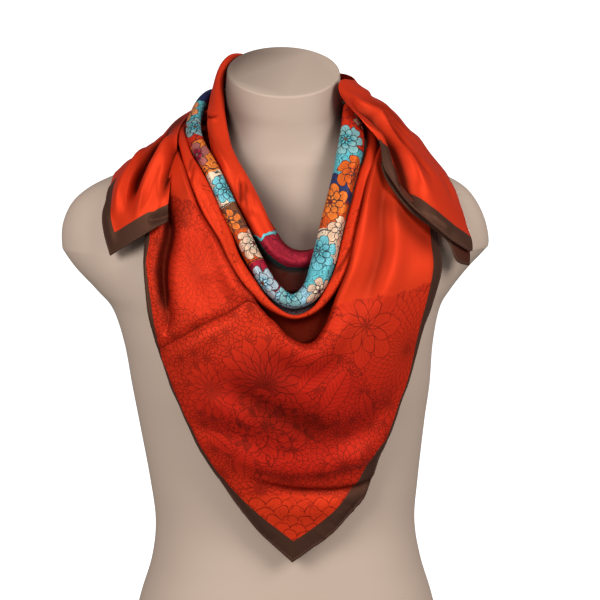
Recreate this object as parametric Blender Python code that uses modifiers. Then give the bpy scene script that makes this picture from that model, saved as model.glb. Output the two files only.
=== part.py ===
"""Silk square scarf folded corner to corner and worn as a cowl on a limbless torso form.

The torso stands on the floor at the origin, its front faces -Y and +Z is up.
Tables are in millimetres and degrees; MM turns them into the scene's metres.
Every stretch of cloth is a thin wall laid over a guide surface that hangs
clear of the form. A place on the guide has a turn, the angle round the neck
from the front towards +X, and a drop, the distance down the guide from its top.
A lift is a distance off the guide, outwards.
"""

import math
from collections import namedtuple

import bmesh
import bpy
import numpy as np

MM = 0.001
WALL = 1.5  # thickness of the folded cloth
MERGE = 1e-6  # metres within which two vertices are one

# ---------------------------------------------------------------- torso form
# One row for each level of the form. "front" and "back" are the depths each
# way from the centre, "square" is the exponent of the oval (2 is an ellipse)
# and "lean" tips the ring forwards.
FormRing = namedtuple("FormRing", "height centre_x centre_y half_width front back square lean")
FORM_RINGS = [
    FormRing(0, 1, 5, 167, 100, 112, 2.3, 0),
    FormRing(60, 1, 5, 159, 98, 106, 2.3, 0),
    FormRing(120, 1, 4, 145, 93, 90, 2.3, 0),
    FormRing(160, 1, 3, 133, 88, 80, 2.3, 0),
    FormRing(198, 0, 2, 128, 84, 76, 2.3, 0),
    FormRing(240, -1, 2, 132, 87, 77, 2.3, 0),
    FormRing(296, -3, 3, 140, 97, 83, 2.3, 0),
    FormRing(334, -4, 4, 146, 107, 88, 2.3, 0),
    FormRing(374, -6, 6, 151, 113, 91, 2.3, 0),
    FormRing(408, -8, 8, 160, 110, 95, 2.2, 0),
    FormRing(427, -10, 10, 174, 105, 97, 2.1, 0),
    FormRing(447, -11, 12, 192, 97, 97, 2.0, 0),
    FormRing(462, -9, 14, 205, 90, 96, 2.0, 0),
    FormRing(470, -8, 15, 209, 86, 95, 2.0, 0),
    FormRing(490, -9, 17, 207, 76, 91, 2.0, 0),
    FormRing(510, -9, 18, 198, 67, 84, 2.0, 0),
    FormRing(525, -7, 19, 183, 62, 78, 2.0, 0),
    FormRing(537, -5, 20, 160, 60, 72, 2.0, 0),
    FormRing(550, -2, 20, 129, 59, 66, 2.0, 0),
    FormRing(562, 0, 20, 99, 58, 61, 2.0, 2),
    FormRing(576, 0, 18, 73, 57, 58, 2.0, 5),
    FormRing(594, 0, 15, 60, 57, 57, 2.0, 10),
    FormRing(614, -1, 11, 57, 58, 58, 2.0, 17),
    FormRing(636, -1, 8, 55, 60, 60, 2.0, 21),
]
FORM_LEVELS = 30
FORM_SIDES = 40
NECK_RIM = 2.0

# The guide has level rings and a wider, softer neck and shoulder than the form.
GuideRing = namedtuple("GuideRing", "height centre_x centre_y half_width front back")
GUIDE_RINGS = [
    GuideRing(660, 0, 10, 60, 62, 62),
    GuideRing(640, 0, 11, 62, 63, 63),
    GuideRing(620, 0, 13, 66, 65, 65),
    GuideRing(604, 0, 15, 74, 68, 69),
    GuideRing(590, 0, 17, 87, 71, 74),
    GuideRing(577, -1, 18, 107, 74, 79),
    GuideRing(565, -3, 18, 134, 78, 84),
    GuideRing(552, -5, 18, 164, 82, 90),
    GuideRing(537, -7, 18, 190, 87, 96),
    GuideRing(515, -8, 17, 208, 94, 103),
    GuideRing(490, -8, 16, 217, 102, 108),
    GuideRing(460, -8, 14, 217, 115, 112),
    GuideRing(425, -8, 12, 200, 125, 112),
    GuideRing(380, -7, 8, 175, 129, 110),
    GuideRing(330, -5, 4, 158, 126, 102),
    GuideRing(260, -2, 2, 150, 112, 95),
    GuideRing(180, 0, 2, 148, 105, 95),
    GuideRing(60, 0, 2, 150, 103, 95),
]
GUIDE_TURN_STEP = 2.0
GUIDE_DROP_STEP = 2.0
GUIDE_LONGEST = 560.0
GUIDE_HEIGHTS = 600
TURN_REACH = 1.5  # millimetres that one degree of turn is worth on the neck and chest

# --------------------------------------------------------------- rolled folds
# A rolled fold is one section swept round the neck. A row gives the middle of
# the fold that shows, how proud it stands and how far its skirt runs on
# beneath the next fold out.
FoldRow = namedtuple("FoldRow", "turn drop lift half_width bulge skirt")

COLLAR_ROLL = [
    FoldRow(-222, 42, 1, 6, 3, 2),
    FoldRow(-205, 36, 0, 8, 3.5, 3),
    FoldRow(-180, 27, -1.3, 9, 4, 4),
    FoldRow(-150, 19, -1.3, 9, 4, 5),
    FoldRow(-122, 17, -1.3, 9.5, 4, 5),
    FoldRow(-92, 38, 0, 10, 4, 5),
    FoldRow(-70, 60, -3, 10.5, 5, 5),
    FoldRow(-56, 76, -4.3, 10.2, 5, 6),
    FoldRow(-47, 89.5, -5.9, 9.7, 5, 9),
    FoldRow(-35, 110.8, -6.6, 10.4, 5.5, 12),
    FoldRow(-25, 129, -6, 11, 6, 14),
    FoldRow(-15, 153, -6, 10, 6, 18),
    FoldRow(-9, 172, -6, 9, 6, 22),
    FoldRow(-3, 188, -6, 8, 6, 24),
    FoldRow(4, 198, -7, 8, 5.5, 24),
    FoldRow(11, 198, -10, 7, 5, 20),
    FoldRow(18, 192, -13, 6, 4, 10),
    FoldRow(25, 180, -15, 5, 3, 4),
]

PRINT_ROLL = [
    FoldRow(-180, 62, -3, 8, 4, 1),
    FoldRow(-150, 57, -2, 8, 4, 1),
    FoldRow(-122, 51, 3, 8, 4, 1),
    FoldRow(-98, 58, 7, 8, 5, 1),
    FoldRow(-84, 73, 5, 7.5, 5, 1),
    FoldRow(-68, 89, 2, 7.5, 5, 1),
    FoldRow(-54, 104, 0, 7, 5, 1),
    FoldRow(-43, 118, 0, 7, 5, 1),
    FoldRow(-34, 136, 0, 7, 5, 1),
    FoldRow(-27, 156, 0, 7.5, 5, 1),
    FoldRow(-20, 177, 0, 7.5, 5.5, 1),
    FoldRow(-12, 204, 0, 7.5, 6, 1),
    FoldRow(-3, 230, 0, 7.5, 6, 1),
    FoldRow(5, 241, 0, 7.5, 6, 1),
    FoldRow(12, 231, 0, 9.5, 7, 1),
    FoldRow(19, 206, 0, 11, 8, 1),
    FoldRow(25, 177, 0, 11, 8, 1),
    FoldRow(30, 153, 0, 11, 7, 1),
    FoldRow(36, 126, 0, 11, 7, 1),
    FoldRow(42, 101, 0, 12.5, 7, 1),
    FoldRow(52, 77, 1, 12.5, 6, 1),
    FoldRow(66, 58, 2, 10.5, 5, 1),
    FoldRow(90, 54, 3, 9, 4, 1),
    FoldRow(125, 60, 0, 8, 4, 1),
    FoldRow(180, 62, -3, 8, 4, 1),
]

OUTER_ROLL = [
    FoldRow(-180, 80, -3, 7, 3, 1),
    FoldRow(-150, 78, -2, 7, 3, 1),
    FoldRow(-124, 76, 2, 7, 3, 2),
    FoldRow(-104, 82, 3, 6, 3, 2),
    FoldRow(-84, 95, 2, 4, 3, 3),
    FoldRow(-67, 104.5, 0, 3.2, 3, 4),
    FoldRow(-56, 118, -1, 3.4, 3, 5),
    FoldRow(-48, 131, -1.5, 6, 4, 5),
    FoldRow(-41, 147, -1.5, 7.6, 4.5, 5),
    FoldRow(-36, 161, -1.5, 7.2, 5, 6),
    FoldRow(-29, 181, -1.5, 6.4, 5, 8),
    FoldRow(-23, 203, -1, 5.2, 5, 10),
    FoldRow(-14, 227, 0, 4.6, 5, 14),
    FoldRow(-5, 245.5, 0, 4, 5, 18),
    FoldRow(6, 256, 0, 3.6, 4.5, 20),
    FoldRow(14, 248, 0, 4, 4.5, 18),
    FoldRow(21, 233, -1, 4.4, 4.5, 12),
    FoldRow(27, 213, -1, 4.4, 4.5, 8),
    FoldRow(31, 194, -1.5, 4.4, 4, 6),
    FoldRow(36, 171, -1.5, 4.2, 4, 5),
    FoldRow(41, 148, -1.5, 3.8, 4, 5),
    FoldRow(48.5, 120, -1.5, 4, 4, 5),
    FoldRow(58.5, 99, 0, 4.2, 3.5, 4),
    FoldRow(72, 82, 2, 4.5, 3, 3),
    FoldRow(92, 78, 2, 6, 3, 2),
    FoldRow(125, 80, -1, 7, 3, 1),
    FoldRow(180, 80, -3, 7, 3, 1),
]
ROLL_STATIONS = 48

# The section of a fold from its inner tail over the crest to the end of its
# skirt, across and out as shares of the half width and the bulge.
SectionRow = namedtuple("SectionRow", "across out skirt")
ROLL_SECTION = [
    SectionRow(-0.10, -0.95, 0),
    SectionRow(-0.70, -0.80, 0),
    SectionRow(-1.00, 0.00, 0),
    SectionRow(-0.70, 0.72, 0),
    SectionRow(0.00, 1.00, 0),
    SectionRow(0.70, 0.70, 0),
    SectionRow(1.00, -0.10, 0),
    SectionRow(1.05, -0.80, 0),
    SectionRow(1.05, -1.05, 1),
]
ROLL_CELLS = 9

# ------------------------------------------------------------------------ bib
# The bib is one sheet between its lip, a U in front of the neck, and its hem,
# a V with the tip of the square. A row joins a place on the lip to a place on
# the hem; "curl" is the radius that the lip turns inwards on.
BibRow = namedtuple("BibRow", "lip_turn lip_drop lip_lift curl hem_turn hem_drop hem_lift")
BIB_LEFT = [
    BibRow(-144, 98, 1, 1.5, -142, 112, -3),
    BibRow(-126, 96, 5, 1.8, -122, 128, -7),
    BibRow(-98, 100, 7, 2, -96, 144, -13.2),
    BibRow(-75, 107, 8, 2, -74, 162, -12.4),
    BibRow(-59, 121, 8, 2, -61, 188, -3),
    BibRow(-50, 138, 8, 2.2, -57, 212, 2),
    BibRow(-41, 166, 8, 2.4, -53, 252, 2),
    BibRow(-33, 185, 8, 2.6, -52, 290, 2),
    BibRow(-25, 209.5, 8.6, 2.6, -50.5, 330, 2),
    BibRow(-15, 240, 9, 4, -46, 372, 2),
    BibRow(-5, 262, 10, 4.5, -37, 418, 2),
    BibRow(2, 275, 11, 5, -20, 460, 2),
    BibRow(8, 281, 11, 5, 1, 495, 2),
]
BIB_RIGHT = [
    BibRow(8, 281, 11, 5, 1, 495, 2),
    BibRow(14, 277, 11, 5, 19, 467, 2),
    BibRow(19, 260, 10, 4.5, 34, 437, 2),
    BibRow(24, 240, 9, 4, 45, 398, 2),
    BibRow(29, 220, 8, 3, 52, 366, 2),
    BibRow(34, 192, 8, 2.6, 57.5, 324, 2),
    BibRow(40, 166, 8, 2.4, 60, 278, 2),
    BibRow(46, 139, 8, 2.2, 63, 240, 2),
    BibRow(54, 114, 8, 2, 66, 208, 0),
    BibRow(69, 97, 8, 2, 73, 176, -10),
    BibRow(92, 94, 8, 2, 92, 150, -13.4),
    BibRow(124, 96, 4, 1.8, 122, 128, -7),
    BibRow(144, 98, 1, 1.5, 142, 112, -3),
]
BIB_STATIONS = 21
BIB_CELLS = 15
LIP_CELLS = 4
LIP_TURN_IN = 200  # degrees that the lip curls through
LIP_TAIL = 8
LIP_SMOOTH = 1 / 6  # share of the bib's depth over which the creases begin

# Soft ridges and troughs, each along a line on the guide. They fade from the
# middle of the line to a little past its ends.
CreaseRow = namedtuple("CreaseRow", "turn_a drop_a turn_b drop_b width height")
BIB_CREASES = [
    CreaseRow(-55, 215, -50, 275, 7, -6),
    CreaseRow(-47, 200, -44, 300, 10, 4),
    CreaseRow(-48, 300, -18, 252, 6, -4),
    CreaseRow(44, 160, 30, 285, 9, 5),
    CreaseRow(50, 165, 47, 250, 9, -6),
    CreaseRow(58, 190, 56, 260, 9, 5),
    CreaseRow(-22, 330, 14, 372, 16, -4),
    CreaseRow(-30, 410, 48, 392, 14, 4),
]
CREASE_REACH = 1.15  # half lengths from its middle at which a crease has gone

# ----------------------------------------------------------------------- ends
# An end runs from the far side of the nape over its shoulder to its corner.
# "inner" is its edge beside the neck and "outer" its edge beside the arm.
EndRow = namedtuple(
    "EndRow", "inner_turn inner_drop outer_turn outer_drop inner_lift outer_lift arch pleat"
)
RIGHT_SHOULDER_END = [
    EndRow(142, 72, 142, 102, 4, 3, 1, 1),
    EndRow(162, 78, 162, 112, 4, 3, 1, 1),
    EndRow(180, 87, 180, 128, 7, 5, 2, 2),
    EndRow(198, 68, 198, 136, 10, 6, 3, 3),
    EndRow(216, 60, 214, 142, 12, 2, 4, 3),
    EndRow(240, 64, 235, 150, 13, -4, 4, 3),
    EndRow(260, 76, 254, 158, 12, -10, 3, 3),
    EndRow(276, 88, 269, 166, 11, -12.6, 2, 3),
    EndRow(290, 104, 280, 178, 11, -12, 2, 3),
    EndRow(300, 126, 286, 197, 10, -10, 3, 3),
    EndRow(306, 152, 289.5, 220, 9, -6.5, 3, 3),
    EndRow(309, 184, 295, 240, 8, -2, 2, 3),
]
LEFT_SHOULDER_END = [
    EndRow(-142, 62, -142, 90, 4, 4, 1, 1),
    EndRow(-162, 54, -162, 84, 4, 3, 1, 1),
    EndRow(-180, 42, -180, 79, 6, 6, 2, 2),
    EndRow(-198, 38, -198, 106, 9, 10, 3, 2),
    EndRow(-216, 36, -216, 122, 11, 8, 4, 3),
    EndRow(-240, 32, -236, 132, 10, 3, 8, 3),
    EndRow(-262, 31, -250, 142, 7, -4, 14, 4),
    EndRow(-286, 32, -261, 151, 6, -10, 16, 4),
    EndRow(-306, 35, -269, 158, 7, -12.6, 15, 4),
    EndRow(-314, 46, -275, 165, 10, -12.6, 13, 4),
    EndRow(-309, 63, -279, 172, 12, -12.4, 11, 4),
    EndRow(-306, 82, -281.5, 180, 13, -11.6, 9, 4),
    EndRow(-305, 104, -283, 189, 12, -10.8, 7, 4),
    EndRow(-308, 128, -284.5, 200, 11, -9, 6, 4),
    EndRow(-308.5, 152, -285.5, 213, 10, -6.5, 5, 4),
    EndRow(-305, 175, -287, 227, 9, -3.2, 3, 3),
    EndRow(-300, 200, -288, 239, 8, -0.5, 2, 2),
    EndRow(-295, 225, -289, 247, 6, 1.5, 1, 1),
    EndRow(-290, 249, -289.5, 252, 4, 2.5, 0, 0),
]
END_STATIONS = 23
END_CELLS = 12
END_PLEATS = 2.5

FORM_BEIGE = (0.545, 0.413, 0.327)
CLOTH_ORANGE = (0.70, 0.045, 0.012)
CLOTH_BROWN = (0.10, 0.045, 0.028)


def smooth(at, keys, values):
    """Values of a smooth curve through the keys: cubic, with slopes from the neighbours."""
    keys, values, at = (np.asarray(a, float) for a in (keys, values, at))
    slopes = np.gradient(values, keys)
    i = np.clip(np.searchsorted(keys, at) - 1, 0, len(keys) - 2)
    step = keys[i + 1] - keys[i]
    t = np.clip((at - keys[i]) / step, 0, 1)
    return (
        values[i] * (1 + 2 * t) * (1 - t) ** 2
        + slopes[i] * step * t * (1 - t) ** 2
        + values[i + 1] * t**2 * (3 - 2 * t)
        + slopes[i + 1] * step * t**2 * (t - 1)
    )


def column(rows, name):
    return np.array([getattr(row, name) for row in rows], float)


def resample(rows, lines, count):
    """Each column of a table at evenly spaced places along the line or lines that it holds."""
    steps = sum(
        np.hypot(np.diff(column(rows, line + "turn")) * TURN_REACH, np.diff(column(rows, line + "drop")))
        for line in lines
    )
    keys = np.concatenate([[0], np.cumsum(steps)])
    places = np.linspace(0, keys[-1], count)
    return {name: smooth(places, keys, column(rows, name)) for name in rows[0]._fields}


def form_ring(level, sides):
    """Points of the form's ring at a level of its table, from the front towards +X."""
    rows = np.arange(len(FORM_RINGS))
    at = {name: float(smooth(level, rows, column(FORM_RINGS, name))) for name in FormRing._fields}
    turn = np.linspace(0, 2 * math.pi, sides + 1)
    bend = 2 / at["square"]
    across = at["half_width"] * np.sign(np.sin(turn)) * np.abs(np.sin(turn)) ** bend
    depth = np.where(np.cos(turn) > 0, at["front"], at["back"])
    back = -depth * np.sign(np.cos(turn)) * np.abs(np.cos(turn)) ** bend
    lean = math.radians(at["lean"])
    return np.stack(
        [
            at["centre_x"] + across,
            at["centre_y"] + back * math.cos(lean),
            at["height"] + back * math.sin(lean),
        ],
        axis=1,
    )


def unit(vectors):
    return vectors / np.linalg.norm(vectors, axis=-1, keepdims=True)


class Guide:
    """The surface the cloth hangs on, as a grid of places by turn and drop."""

    def __init__(self, rings):
        self.turns = np.arange(-180, 180 + GUIDE_TURN_STEP, GUIDE_TURN_STEP)
        self.drops = np.arange(0, GUIDE_LONGEST, GUIDE_DROP_STEP)
        keys = column(rings, "height")[::-1]
        heights = np.linspace(keys[-1], keys[0], GUIDE_HEIGHTS)
        at = {
            name: smooth(heights, keys, column(rings, name)[::-1]) for name in GuideRing._fields
        }
        self.places = np.zeros((len(self.turns), len(self.drops), 3))
        for i, turn in enumerate(np.radians(self.turns)):
            depth = at["front"] if math.cos(turn) > 0 else at["back"]
            reach = 1 / np.hypot(math.sin(turn) / at["half_width"], math.cos(turn) / depth)
            across = at["centre_x"] + reach * math.sin(turn)
            back = at["centre_y"] - reach * math.cos(turn)
            line = np.stack([across, back, heights], axis=1)
            steps = np.linalg.norm(np.diff(line, axis=0), axis=1)
            run = np.concatenate([[0], np.cumsum(steps)])
            for axis in range(3):
                self.places[i, :, axis] = np.interp(self.drops, run, line[:, axis])
        down = np.gradient(self.places, axis=1)
        around = np.gradient(self.places, axis=0)
        around[0] = around[-1] = self.places[1] - self.places[-2]
        out = np.cross(down, around)
        self.outs = unit(out)

    def sample(self, grid, turn, drop):
        """Values of a grid between its four nearest entries."""
        turn = (np.asarray(turn, float) + 180) % 360 / GUIDE_TURN_STEP
        drop = np.clip(np.asarray(drop, float) / GUIDE_DROP_STEP, 0, len(self.drops) - 1.001)
        i, j = turn.astype(int), drop.astype(int)
        a, b = (turn - i)[..., None], (drop - j)[..., None]
        return (
            grid[i, j] * (1 - a) * (1 - b)
            + grid[i + 1, j] * a * (1 - b)
            + grid[i, j + 1] * (1 - a) * b
            + grid[i + 1, j + 1] * a * b
        )

    def at(self, turn, drop, lift):
        """Points that far off the guide, and the guide's outward directions there."""
        out = unit(self.sample(self.outs, turn, drop))
        return self.sample(self.places, turn, drop) + out * np.asarray(lift, float)[..., None], out


def crease_lift(turn, drop, creases):
    """What the ridges and troughs add to the lift at each place."""
    total = np.zeros(np.shape(turn))
    place = np.stack([turn * TURN_REACH, drop], axis=-1)
    for crease in creases:
        start = np.array([crease.turn_a * TURN_REACH, crease.drop_a])
        line = np.array([crease.turn_b * TURN_REACH, crease.drop_b]) - start
        share = ((place - start) @ line) / (line @ line)
        nearest = start + np.clip(share, 0, 1)[..., None] * line
        far = np.linalg.norm(place - nearest, axis=-1) / crease.width
        fade = np.clip(CREASE_REACH - np.abs(2 * share - 1), 0, 1)
        total += crease.height * np.exp(-(far**2)) * fade
    return total


def rolled_fold(guide, rows):
    """Points of a rolled fold, by station round the neck and place in the section."""
    at = resample(rows, [""], ROLL_STATIONS)
    middle, out = guide.at(at["turn"], at["drop"], at["lift"])
    along = np.gradient(middle, axis=0)
    is_ring = rows[-1].turn - rows[0].turn == 360
    if is_ring:
        along[0] = along[-1] = (middle[1] - middle[0]) + (middle[-1] - middle[-2])
    down = unit(np.cross(unit(along), out))
    out = unit(np.cross(down, unit(along)))
    keys = np.arange(len(ROLL_SECTION))
    places = np.linspace(0, keys[-1], ROLL_CELLS + 1)
    points = []
    for i in range(ROLL_STATIONS):
        across = column(ROLL_SECTION, "across") * at["half_width"][i]
        across = smooth(places, keys, across + column(ROLL_SECTION, "skirt") * at["skirt"][i])
        proud = smooth(places, keys, column(ROLL_SECTION, "out") * at["bulge"][i])
        points.append(middle[i] + across[:, None] * down[i] + proud[:, None] * out[i])
    if is_ring:
        points[-1] = points[0]
    return np.array(points)


def bib_half(guide, rows):
    """Points of one half of the bib, by station along the lip and place down the cloth."""
    table = resample(rows, ["hem_"], BIB_STATIONS)
    at = {name: values[:, None] for name, values in table.items()}
    share = np.linspace(0, 1, BIB_CELLS + 1)[None, :]
    turn = at["lip_turn"] + (at["hem_turn"] - at["lip_turn"]) * share
    drop = at["lip_drop"] + (at["hem_drop"] - at["lip_drop"]) * share
    proud = at["lip_lift"] * (1 - share) ** 2 + at["hem_lift"] * (1 - (1 - share) ** 2)
    proud = proud + crease_lift(turn, drop, BIB_CREASES) * np.clip(share / LIP_SMOOTH, 0, 1)
    sheet, out = guide.at(turn, drop, proud)
    lip, out = sheet[:, 0], out[:, 0]
    down = unit(sheet[:, 1] - sheet[:, 0])
    out = unit(out - down * np.sum(out * down, axis=1, keepdims=True))
    curl = at["curl"]
    rows_in = []
    for angle in np.radians(np.linspace(LIP_TURN_IN, 0, LIP_CELLS + 1))[:-1]:
        rows_in.append(lip - out * curl * (1 - math.cos(angle)) - down * curl * math.sin(angle))
    tail = rows_in[0] + down * LIP_TAIL
    return np.concatenate([np.stack([tail, *rows_in], axis=1), sheet], axis=1)


def end_sheet(guide, rows):
    """Points of an end, by station along it and place from its inner to its outer edge."""
    table = resample(rows, ["inner_", "outer_"], END_STATIONS)
    at = {name: values[:, None] for name, values in table.items()}
    share = np.linspace(0, 1, END_CELLS + 1)[None, :]
    turn = at["inner_turn"] + (at["outer_turn"] - at["inner_turn"]) * share
    drop = at["inner_drop"] + (at["outer_drop"] - at["inner_drop"]) * share
    proud = at["inner_lift"] + (at["outer_lift"] - at["inner_lift"]) * share
    proud = proud + at["arch"] * np.sin(math.pi * share)
    proud = proud + at["pleat"] * (1 - np.cos(2 * math.pi * END_PLEATS * share)) / 2
    return guide.at(turn, drop, proud)[0]


def make_material(name, colour, roughness):
    material = bpy.data.materials.new(name)
    material.use_nodes = True
    shader = material.node_tree.nodes["Principled BSDF"]
    shader.inputs["Base Color"].default_value = (*colour, 1.0)
    shader.inputs["Roughness"].default_value = roughness
    shader.inputs["Metallic"].default_value = 0.0
    material.diffuse_color = (*colour, 1.0)
    return material


def grid_mesh(points):
    """A bmesh grid with its vertices at the points, in metres."""
    bm = bmesh.new()
    rows, columns = points.shape[:2]
    bmesh.ops.create_grid(bm, x_segments=columns - 1, y_segments=rows - 1, size=1)
    bm.verts.ensure_lookup_table()
    for vertex, place in zip(bm.verts, points.reshape(-1, 3)):
        vertex.co = place * MM
    return bm


def make_object(name, bm, material, collection):
    bmesh.ops.remove_doubles(bm, verts=bm.verts, dist=MERGE)
    bmesh.ops.recalc_face_normals(bm, faces=bm.faces)
    mesh = bpy.data.meshes.new(name)
    bm.to_mesh(mesh)
    bm.free()
    mesh.materials.append(material)
    mesh.shade_smooth()
    thing = bpy.data.objects.new(name, mesh)
    collection.objects.link(thing)
    return thing


def make_form(material, collection):
    levels = np.linspace(0, len(FORM_RINGS) - 1, FORM_LEVELS)
    rings = [form_ring(level, FORM_SIDES) for level in levels]
    lean = math.radians(FORM_RINGS[-1].lean)
    middle = rings[-1].mean(axis=0)
    rim_up = np.array([0, -math.sin(lean), math.cos(lean)]) * NECK_RIM
    shrink = 1 - NECK_RIM / FORM_RINGS[-1].half_width
    rings.append(middle + (rings[-1] - middle) * shrink + rim_up)
    bm = grid_mesh(np.array(rings))
    bmesh.ops.remove_doubles(bm, verts=bm.verts, dist=MERGE)
    rims = [edge for edge in bm.edges if edge.is_boundary]
    bmesh.ops.holes_fill(bm, edges=rims, sides=0)
    return make_object("torso_form", bm, material, collection)


def make_cloth(name, points, material, collection):
    thing = make_object(name, grid_mesh(points), material, collection)
    solidify = thing.modifiers.new("wall", "SOLIDIFY")
    solidify.thickness = WALL * MM
    solidify.offset = 0
    return thing


def main():
    for thing in list(bpy.data.objects):
        bpy.data.objects.remove(thing, do_unlink=True)
    collection = bpy.data.collections.new("silk_square_scarf")
    bpy.context.scene.collection.children.link(collection)

    beige = make_material("form_beige", FORM_BEIGE, 0.55)
    orange = make_material("silk_orange", CLOTH_ORANGE, 0.4)
    brown = make_material("silk_brown", CLOTH_BROWN, 0.45)

    guide = Guide(GUIDE_RINGS)
    make_form(beige, collection)
    left = bib_half(guide, BIB_LEFT)
    right = bib_half(guide, BIB_RIGHT)
    make_cloth("bib", np.concatenate([left, right[1:]]), orange, collection)
    make_cloth("outer_roll", rolled_fold(guide, OUTER_ROLL), orange, collection)
    make_cloth("print_roll", rolled_fold(guide, PRINT_ROLL), brown, collection)
    make_cloth("collar_roll", rolled_fold(guide, COLLAR_ROLL), orange, collection)
    make_cloth("right_shoulder_end", end_sheet(guide, RIGHT_SHOULDER_END), orange, collection)
    make_cloth("left_shoulder_end", end_sheet(guide, LEFT_SHOULDER_END), orange, collection)


main()
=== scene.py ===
# Silk square scarf, folded corner to corner and worn as a cowl on a limbless torso form.
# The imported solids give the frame; every stretch of cloth and the form are modelled again here.
# Sizes in the dictionaries are millimetres and degrees, and the studio's are metres. A place on the
# cloth has a turn, the angle round the neck from the front towards +X, a drop, the distance down
# from the neck, and a lift, the distance off the surface that the cloth hangs on.

import math

import bmesh
import bpy
import numpy as np
from mathutils import Matrix, Vector


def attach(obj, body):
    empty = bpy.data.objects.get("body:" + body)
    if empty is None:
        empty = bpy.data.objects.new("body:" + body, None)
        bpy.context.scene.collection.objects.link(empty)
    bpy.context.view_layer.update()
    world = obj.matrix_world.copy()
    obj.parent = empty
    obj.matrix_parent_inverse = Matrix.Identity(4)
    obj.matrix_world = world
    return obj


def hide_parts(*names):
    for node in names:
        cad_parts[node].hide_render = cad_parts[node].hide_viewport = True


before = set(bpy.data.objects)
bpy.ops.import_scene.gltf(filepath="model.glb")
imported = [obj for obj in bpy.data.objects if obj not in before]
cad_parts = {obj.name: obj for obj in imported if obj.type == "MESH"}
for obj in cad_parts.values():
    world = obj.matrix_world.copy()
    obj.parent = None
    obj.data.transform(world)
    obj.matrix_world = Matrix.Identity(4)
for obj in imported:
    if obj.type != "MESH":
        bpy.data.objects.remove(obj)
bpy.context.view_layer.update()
mm = 0.001
noBorder = -99.0  # marks on the cloth, in millimetres inside the border: well outside it, well inside it
allBorder = 9.0
print("frame loaded:", ", ".join(sorted(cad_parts)))


# tables and curves

def column(piece, name):
    place = piece["columns"].split().index(name)
    return np.array([row[place] for row in piece["rows"]], float)


def smoothCurve(at, keys, values):
    # cubic through the keys, with slopes from the neighbours
    keys, values, at = (np.asarray(a, float) for a in (keys, values, at))
    slopes = np.gradient(values, keys)
    i = np.clip(np.searchsorted(keys, at) - 1, 0, len(keys) - 2)
    step = keys[i + 1] - keys[i]
    t = np.clip((at - keys[i]) / step, 0, 1)
    return (
        values[i] * (1 + 2 * t) * (1 - t) ** 2
        + slopes[i] * step * t * (1 - t) ** 2
        + values[i + 1] * t**2 * (3 - 2 * t)
        + slopes[i + 1] * step * t**2 * (t - 1)
    )


def soften(values, reach, closed=False):
    # running average with a bell-shaped weight, over that many entries each way
    offsets = np.arange(-3 * reach, 3 * reach + 1)
    weights = np.exp(-((offsets / reach) ** 2) / 2)
    weights /= weights.sum()
    if closed:
        body = values[:-1]
        wrapped = np.concatenate([body[-3 * reach:], body, body[: 3 * reach]])
        smoothed = np.convolve(wrapped, weights, "valid")
        return np.append(smoothed, smoothed[0])
    first = 2 * values[0] - values[3 * reach:0:-1]
    last = 2 * values[-1] - values[-2:-3 * reach - 2:-1]
    return np.convolve(np.concatenate([first, values, last]), weights, "valid")


def ease(t):
    t = np.clip(t, 0, 1)
    return t * t * (3 - 2 * t)


def unit(vectors):
    return vectors / np.linalg.norm(vectors, axis=-1, keepdims=True)


# the surface that the cloth hangs on

guideShape = {
    "columns": "height centreX centreY halfWidth front back",
    "rows": [
        (660, 0, 10, 60, 62, 62),
        (640, 0, 11, 62, 63, 63),
        (620, 0, 13, 66, 65, 65),
        (604, 0, 15, 74, 68, 69),
        (590, 0, 17, 87, 71, 74),
        (577, -1, 18, 107, 74, 79),
        (565, -3, 18, 134, 78, 84),
        (552, -5, 18, 164, 82, 90),
        (537, -7, 18, 190, 87, 96),
        (515, -8, 17, 208, 94, 103),
        (490, -8, 16, 217, 102, 108),
        (460, -8, 14, 217, 115, 112),
        (425, -8, 12, 200, 125, 112),
        (380, -7, 8, 175, 129, 110),
        (330, -5, 4, 158, 126, 102),
        (260, -2, 2, 150, 112, 95),
        (180, 0, 2, 148, 105, 95),
        (60, 0, 2, 150, 103, 95),
    ],
    "turnStep": 0.5,
    "dropStep": 1.0,
    "longest": 560.0,
    "heights": 1200,
}


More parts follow.
